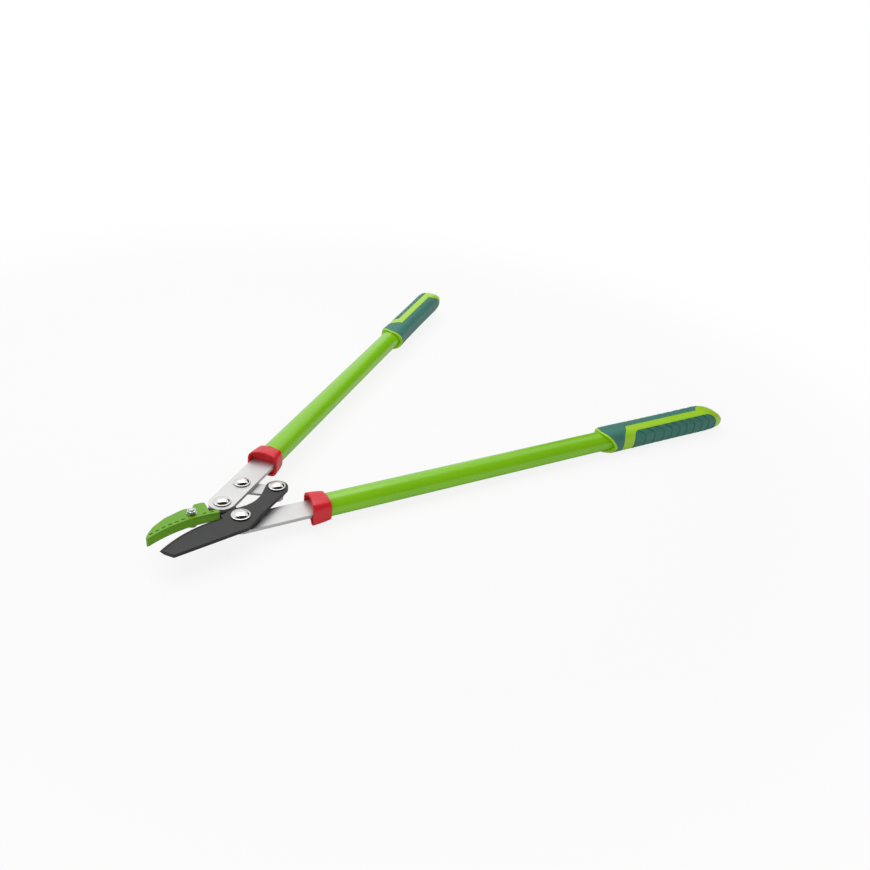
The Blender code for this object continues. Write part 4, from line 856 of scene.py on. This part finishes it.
green_paint, tree, shader, place = new_finish("green_painted_sheet")
paint_cloud = add_node(tree, "ShaderNodeTexNoise", {
    "Vector": place, "Scale": 1.0 / PAINT_CLOUD_SIZE, "Detail": 3.0,
})
paint_tone = add_node(tree, "ShaderNodeMix", {
    "Factor": paint_cloud.outputs["Fac"], "A": linear("#66A800"), "B": linear("#74B400"),
}, data_type="RGBA")
paint_peel = add_node(tree, "ShaderNodeTexNoise", {
    "Vector": place, "Scale": 1.0 / PAINT_PEEL_SIZE, "Detail": 1.0,
})
paint_bump = add_node(tree, "ShaderNodeBump", {
    "Height": paint_peel.outputs["Fac"], "Strength": 0.3, "Distance": 0.00005,
})
feed(shader, {
    "Base Color": paint_tone.outputs["Result"], "Normal": paint_bump.outputs["Normal"],
    "Roughness": 0.34, "IOR": 1.50,
})
eased_copy("anvil", ANVIL_EDGE_ROUND, green_paint, "fixed_handle", ANVIL_SHARP_ANGLE)


# Pivots: bolts and a rivet with domed, flanged heads in bright nickel over zinc plated nuts and washers.
# A thin plated screw with a hexagon nut on top holds the anvil.
TURNED_STEPS = 96
HEAD_HEIGHT = 0.0040
SHOULDER_SHARE = 0.84
SHOULDER_STEP = 0.0001
LEDGE_SHARE = 0.30
DOME_FOOT_SHARE = 0.04
DOME_SHARE = 0.66
DOME_POWER = 2.4
PLAIN_SHANK = 0.0090
THREAD_PITCH = 0.0010
THREAD_DEPTH = 0.0003
POINT_LENGTH = 0.0006
POINT_INSET = 0.0007
CORNER_FALL = 0.5
NUT_HEXAGON_SHARE = 0.72
NUT_COLLAR_SHARE = 0.43
NUT_COLLAR_FALL = 0.0004
NUT_COLLAR_INSET = 0.0005


def bright_nickel():
    """Polished nickel plate: a mirror with the faintest haze left by the polishing wheel."""
    finish, tree, shader, place = new_finish("bright_nickel_plate")
    haze_size = 0.0025
    haze = add_node(tree, "ShaderNodeTexNoise", {"Vector": place, "Scale": 1.0 / haze_size, "Detail": 3.0})
    rough = add_node(tree, "ShaderNodeMapRange", {
        "Value": haze.outputs["Fac"], "From Min": 0.3, "From Max": 0.7, "To Min": 0.05, "To Max": 0.10,
    })
    tone = add_node(tree, "ShaderNodeMix", {
        "Factor": haze.outputs["Fac"], "A": linear("#D9D8D5"), "B": linear("#E9E8E6"),
    }, data_type="RGBA")
    feed(shader, {
        "Base Color": tone.outputs["Result"], "Roughness": rough.outputs["Result"], "Metallic": 1.0,
    })
    return finish


def zinc_fastener():
    """Zinc plate on small turned parts: pale, fairly bright, with an even mottle.

    The real mottle is about 0.3 mm across. It is drawn at 1.7 mm, so that the render shows it.
    """
    finish, tree, shader, place = new_finish("zinc_plated_fastener")
    mottle_size = 0.00167
    mottle = add_node(tree, "ShaderNodeTexNoise", {
        "Vector": place, "Scale": 1.0 / mottle_size, "Detail": 3.0,
    })
    tone = add_node(tree, "ShaderNodeMix", {
        "Factor": mottle.outputs["Fac"], "A": linear("#C2C3C4"), "B": linear("#DADBDC"),
    }, data_type="RGBA")
    rough = add_node(tree, "ShaderNodeMapRange", {
        "Value": mottle.outputs["Fac"], "From Min": 0.3, "From Max": 0.7, "To Min": 0.20, "To Max": 0.32,
    })
    feed(shader, {
        "Base Color": tone.outputs["Result"], "Roughness": rough.outputs["Result"], "Metallic": 1.0,
    })
    return finish


def box_of(node):
    """Middle, half width, bottom and top of a node that stands upright."""
    low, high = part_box(node)
    return np.array([(low.x + high.x) / 2, (low.y + high.y) / 2]), (high.x - low.x) / 2, low.z, high.z


def turned_surface(node, middle, profile, finish, body, flats=None, sharp=40.0):
    """Carry a profile of radius and height round an upright axis, cut to a hexagon where flats are given."""
    turn = np.linspace(0.0, math.tau, TURNED_STEPS, endpoint=False)
    radius, height = np.array(profile).T
    reach = np.repeat(radius[:, None], TURNED_STEPS, axis=1)
    if flats is not None:
        off_flat = (turn + math.pi / 6) % (math.pi / 3) - math.pi / 6
        hexagon = flats / 2 / np.cos(off_flat)
        reach = np.minimum(reach, np.roll(hexagon, TURNED_STEPS // 12)[None, :])
    up = np.repeat(height[:, None], TURNED_STEPS, axis=1)
    grid = np.stack([middle[0] + reach * np.cos(turn), middle[1] + reach * np.sin(turn), up], axis=-1)
    piece = add_surface(node + "_turned", grid, True, sharp)
    return dress(piece, finish, body, [node])


def domed_head(radius, seat, top):
    """Radius and height along a domed head, from its crown over the flange and in to its seat.

    The dome falls from its crown with the power DOME_POWER of its radius, and the flange has a round rim.
    """
    height = top - seat
    shoulder = SHOULDER_SHARE * radius
    ledge = seat + LEDGE_SHARE * height
    foot = ledge + DOME_FOOT_SHARE * height
    share = np.linspace(0.0, 1.0, 24)
    dome = [(shoulder * s, foot + DOME_SHARE * height * (1.0 - s ** DOME_POWER)) for s in share]
    half_rim = (ledge - seat) / 2
    flange = [
        (radius - half_rim + half_rim * math.cos(a), seat + half_rim + half_rim * math.sin(a))
        for a in np.linspace(math.pi / 2, -math.pi / 2, 9)
    ]
    return dome + [(shoulder + SHOULDER_STEP, ledge)] + flange


def threaded_tail(shank, start, tail):
    """Radius and height down the threaded part of a shank, in to its pointed end."""
    rows = max(2, int((start - tail) / (THREAD_PITCH / 2)))
    heights = np.linspace(start, tail + POINT_LENGTH, rows)
    thread = [(shank - THREAD_DEPTH * (index % 2), height) for index, height in enumerate(heights)]
    return thread + [(shank - POINT_INSET, tail), (0.0, tail)]


def hexagon_side(flats, low, high):
    """Radius and height up the side of a hexagon, whose corners are eased at both ends."""
    corner = flats / 2 / math.cos(math.pi / 6)
    fall = CORNER_FALL * (corner - flats / 2)
    return [(flats / 2, low), (corner, low + fall), (corner, high - fall), (flats / 2, high)]


def collared_nut(bore, flats, low, high):
    """Radius and height round a nut: a hexagon on top, and a round collar below it."""
    waist = high - NUT_HEXAGON_SHARE * (high - low)
    radius = NUT_COLLAR_SHARE * flats
    round_part = [(radius, waist), (radius, low + NUT_COLLAR_FALL), (radius - NUT_COLLAR_INSET, low)]
    return [(bore, high), *hexagon_side(flats, waist, high)[::-1], *round_part, (bore, low), (bore, high)]


nickel = bright_nickel()
zinc = zinc_fastener()

# Each pivot has its name, its body, its shank's radius and its nut's width across flats.
PIVOTS = [
    ("blade_pivot", "fixed_handle", 0.0050, 0.0140),
    ("handle_pivot", "fixed_handle", 0.0040, 0.0130),
    ("arm_pivot", "cutting_blade", 0.0040, 0.0130),
]
for prefix, body, shank, flats in PIVOTS:
    middle, head_radius, tail, top = box_of(prefix + "_bolt")
    seat = top - HEAD_HEIGHT
    profile = domed_head(head_radius, seat, top) + [(shank, seat)]
    profile += threaded_tail(shank, seat - PLAIN_SHANK, tail)
    turned_surface(prefix + "_bolt", middle, profile, nickel, body)
    middle, _, low, high = box_of(prefix + "_nut")
    profile = collared_nut(shank + FIT, flats, low, high)
    turned_surface(prefix + "_nut", middle, profile, zinc, body, flats)

# The rivet's foot is upset on the underside. Each pair is a radius and a height over the rivet's end.
RIVET_SHANK = 0.0040
RIVET_FOOT = (
    (RIVET_SHANK, 0.0022), (0.0065, 0.0022), (0.0062, 0.0014), (0.0052, 0.0007), (0.0033, 0.0), (0.0, 0.0),
)
middle, head_radius, tail, top = box_of("link_rivet")
seat = top - HEAD_HEIGHT
profile = domed_head(head_radius, seat, top) + [(RIVET_SHANK, seat)]
profile += [(radius, tail + height) for radius, height in RIVET_FOOT]
turned_surface("link_rivet", middle, profile, nickel, "moving_handle")
WASHER_EDGE_ROUND = 0.00012
for node, body in (("link_rivet_washer", "moving_handle"), ("arm_pivot_washer", "cutting_blade")):
    eased_copy(node, WASHER_EDGE_ROUND, zinc, body)

# The anvil's screw comes up from below, and its nut sits on the anvil's tab. Its head is given as pairs of
# a radius and a height over the screw's lower end.
SCREW_RADIUS = 0.0025
SCREW_CHAMFER = 0.0004
SCREW_THREAD_STEP = 0.00035
SCREW_THREAD_DEPTH = 0.0002
SCREW_THREAD_ROWS = 9
SCREW_HEAD = (
    (SCREW_RADIUS, 0.0022), (0.0045, 0.0022), (0.0045, 0.0016), (0.0040, 0.0005), (0.0026, 0.0), (0.0, 0.0),
)
SMALL_NUT_FLATS = 0.0080
SMALL_NUT_BORE = 0.0028
SPACER_EDGE_ROUND = 0.0002
middle, _, tail, top = box_of("anvil_screw")
shoulder = top - SCREW_CHAMFER
profile = [(0.0, top), (SCREW_RADIUS - SCREW_CHAMFER, top), (SCREW_RADIUS, shoulder)]
profile += [
    (SCREW_RADIUS - SCREW_THREAD_DEPTH * (row % 2), shoulder - SCREW_THREAD_STEP * row)
    for row in range(1, SCREW_THREAD_ROWS + 1)
]
profile += [(radius, tail + height) for radius, height in SCREW_HEAD]
turned_surface("anvil_screw", middle, profile, zinc, "fixed_handle")
middle, _, low, high = box_of("anvil_nut")
profile = [(SMALL_NUT_BORE, low), *hexagon_side(SMALL_NUT_FLATS, low, high)]
profile += [(SMALL_NUT_BORE, high), (SMALL_NUT_BORE, low)]
turned_surface("anvil_nut", middle, profile, zinc, "fixed_handle", SMALL_NUT_FLATS)
eased_copy("anvil_washer", WASHER_EDGE_ROUND, zinc, "fixed_handle")
eased_copy("anvil_spacer", SPACER_EDGE_ROUND, zinc, "fixed_handle")
eased_copy("jaw_plate_rivet", PLATE_EDGE_ROUND, black_plate, "fixed_handle")


# Inside the handles: dark glass filled nylon plugs that carry the bars' tangs, each held by a steel pin.
# They are out of sight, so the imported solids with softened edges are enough.
HIDDEN_EDGE_ROUND = 0.0002

dark_nylon = moulded_plastic("dark_glass_filled_nylon", "#2C2C2E", "#222224", 0.55, 0.0006, 0.00005)
for handle in (lower, upper):
    eased_copy(handle.prefix + "_tube_plug", HIDDEN_EDGE_ROUND, dark_nylon, handle.body)
    eased_copy(handle.prefix + "_tang_pin", HIDDEN_EDGE_ROUND, zinc, handle.body)


# Studio: a white table in white surroundings, lit by a large softbox above and a weak one from the left.
# Camera rays see the table almost as paper, so that only a trace of the shadow is left on it. Black
# cards stand before the tool and at its far right, so that bright metal and gloss show dark edges.
FLOOR_SIZE = 6.0
FLOOR_MIDDLE = (0.2, 0.2)
FLOOR_DROP = 0.0006
PAPER_TONE = 0.88
PAPER_SHARE = 0.86
PAPER_NEAR = 0.45
PAPER_FAR = 0.90
AMBIENT = 0.45
LIGHT_TARGET = (0.15, 0.15, 0.0)
SOFTBOX_SIZE = 1.3
SOFTBOX_POWER = 9.0
SOFTBOX_PLACE = (0.15, 0.45, 1.25)
FILL_SIZE = 0.8
FILL_POWER = 1.5
FILL_PLACE = (-0.9, -0.5, 0.6)
TOOL_MIDDLE = (0.20, 0.13, 0.01)
CARD_TONE = 0.01
CARD_DISTANCE = 1.0
FRONT_CARD = (-100.0, 46.0, 6.0, 2.1)
SIDE_CARD = (12.0, 16.0, 1.3, 0.6)
CAMERA_PLACE = (-0.208251, -0.623196, 0.483122)
CAMERA_TURN = math.radians(-33.631)
CAMERA_TILT = math.radians(90.0 - 29.380)
CAMERA_ROLL = math.radians(6.595)
LENS = 34.586


def black_card(name, direction, rise, width, height, finish):
    """A black card that only reflections see, at a direction and a rise in degrees, facing the tool."""
    turn = math.radians(direction)
    lift = math.radians(rise)
    away = Vector((math.cos(turn) * math.cos(lift), math.sin(turn) * math.cos(lift), math.sin(lift)))
    middle = Vector(TOOL_MIDDLE) + CARD_DISTANCE * away
    right = Vector((-math.sin(turn), math.cos(turn), 0.0)) * width / 2
    up = away.cross(right).normalized() * height / 2
    mesh = bpy.data.meshes.new(name)
    corners = [middle - right - up, middle + right - up, middle + right + up, middle - right + up]
    mesh.from_pydata([tuple(corner) for corner in corners], [], [(0, 1, 2, 3)])
    card = bpy.data.objects.new(name, mesh)
    card.visible_camera = False
    card.visible_diffuse = False
    card.visible_transmission = False
    card.visible_shadow = False
    card.data.materials.append(finish)
    bpy.context.scene.collection.objects.link(card)
    return card


def area_light(name, size, power, place):
    """A square softbox at a place, aimed at the tool."""
    lamp = bpy.data.lights.new(name, "AREA")
    lamp.shape = "SQUARE"
    lamp.size = size
    lamp.energy = power
    holder = bpy.data.objects.new(name, lamp)
    holder.location = place
    holder.rotation_euler = (Vector(LIGHT_TARGET) - Vector(place)).to_track_quat("-Z", "Y").to_euler()
    bpy.context.scene.collection.objects.link(holder)
    return holder


lowest = min(corner[2] for corner in cad_box)
half = FLOOR_SIZE / 2
floor_corners = [(-half, -half, 0), (half, -half, 0), (half, half, 0), (-half, half, 0)]
floor_mesh = bpy.data.meshes.new("studio_floor")
floor_mesh.from_pydata(floor_corners, [], [(0, 1, 2, 3)])
floor = bpy.data.objects.new("studio_floor", floor_mesh)
floor.location = (*FLOOR_MIDDLE, lowest - FLOOR_DROP)
bpy.context.scene.collection.objects.link(floor)
paper, tree, shader, place = new_finish("studio_paper")
feed(shader, {"Base Color": (PAPER_TONE, PAPER_TONE, PAPER_TONE, 1.0), "Roughness": 0.9})
glow = add_node(tree, "ShaderNodeEmission", {"Color": (1.0, 1.0, 1.0, 1.0), "Strength": 1.0})
path = add_node(tree, "ShaderNodeLightPath", {})
off_tool = add_node(tree, "ShaderNodeVectorMath", {0: place}, operation="LENGTH").outputs["Value"]
paper_share = add_node(tree, "ShaderNodeMapRange", {
    "Value": off_tool, "From Min": PAPER_NEAR, "From Max": PAPER_FAR, "To Min": PAPER_SHARE, "To Max": 1.0,
}, interpolation_type="SMOOTHSTEP")
share = add_node(tree, "ShaderNodeMath", {
    0: path.outputs["Is Camera Ray"], 1: paper_share.outputs["Result"],
}, operation="MULTIPLY")
mixed = add_node(tree, "ShaderNodeMixShader", {
    0: share.outputs["Value"], 1: shader.outputs["BSDF"], 2: glow.outputs["Emission"],
})
feed(tree.nodes["Material Output"], {"Surface": mixed.outputs["Shader"]})
floor.data.materials.append(paper)

world = bpy.data.worlds.new("studio_air")
world.use_nodes = True
bpy.context.scene.world = world
tree = world.node_tree
path = add_node(tree, "ShaderNodeLightPath", {})
seen = add_node(tree, "ShaderNodeMath", {
    0: path.outputs["Is Camera Ray"], 1: path.outputs["Is Glossy Ray"],
}, operation="MAXIMUM")
seen = add_node(tree, "ShaderNodeMath", {
    0: seen.outputs["Value"], 1: path.outputs["Is Transmission Ray"],
}, operation="MAXIMUM")
strength = add_node(tree, "ShaderNodeMapRange", {
    "Value": seen.outputs["Value"], "To Min": AMBIENT, "To Max": 1.0,
})
feed(tree.nodes["Background"], {"Color": (1.0, 1.0, 1.0, 1.0), "Strength": strength.outputs["Result"]})
black, tree, shader, place = new_finish("black_card")
feed(shader, {"Base Color": (CARD_TONE, CARD_TONE, CARD_TONE, 1.0), "Roughness": 1.0})
black_card("front_card", *FRONT_CARD, black)
black_card("side_card", *SIDE_CARD, black)
area_light("softbox", SOFTBOX_SIZE, SOFTBOX_POWER, SOFTBOX_PLACE)
area_light("fill", FILL_SIZE, FILL_POWER, FILL_PLACE)

camera = bpy.data.objects.new("camera", bpy.data.cameras.new("camera"))
camera.data.lens = LENS
camera.data.sensor_width = 36.0
camera.data.clip_start = 0.01
camera.data.clip_end = 20.0
camera.location = CAMERA_PLACE
aim = Quaternion((0.0, 0.0, 1.0), CAMERA_TURN) @ Quaternion((1.0, 0.0, 0.0), CAMERA_TILT)
camera.rotation_mode = "QUATERNION"
camera.rotation_quaternion = aim @ Quaternion((0.0, 0.0, 1.0), CAMERA_ROLL)
bpy.context.scene.collection.objects.link(camera)
bpy.context.scene.camera = camera
bpy.context.scene.view_settings.view_transform = "Standard"
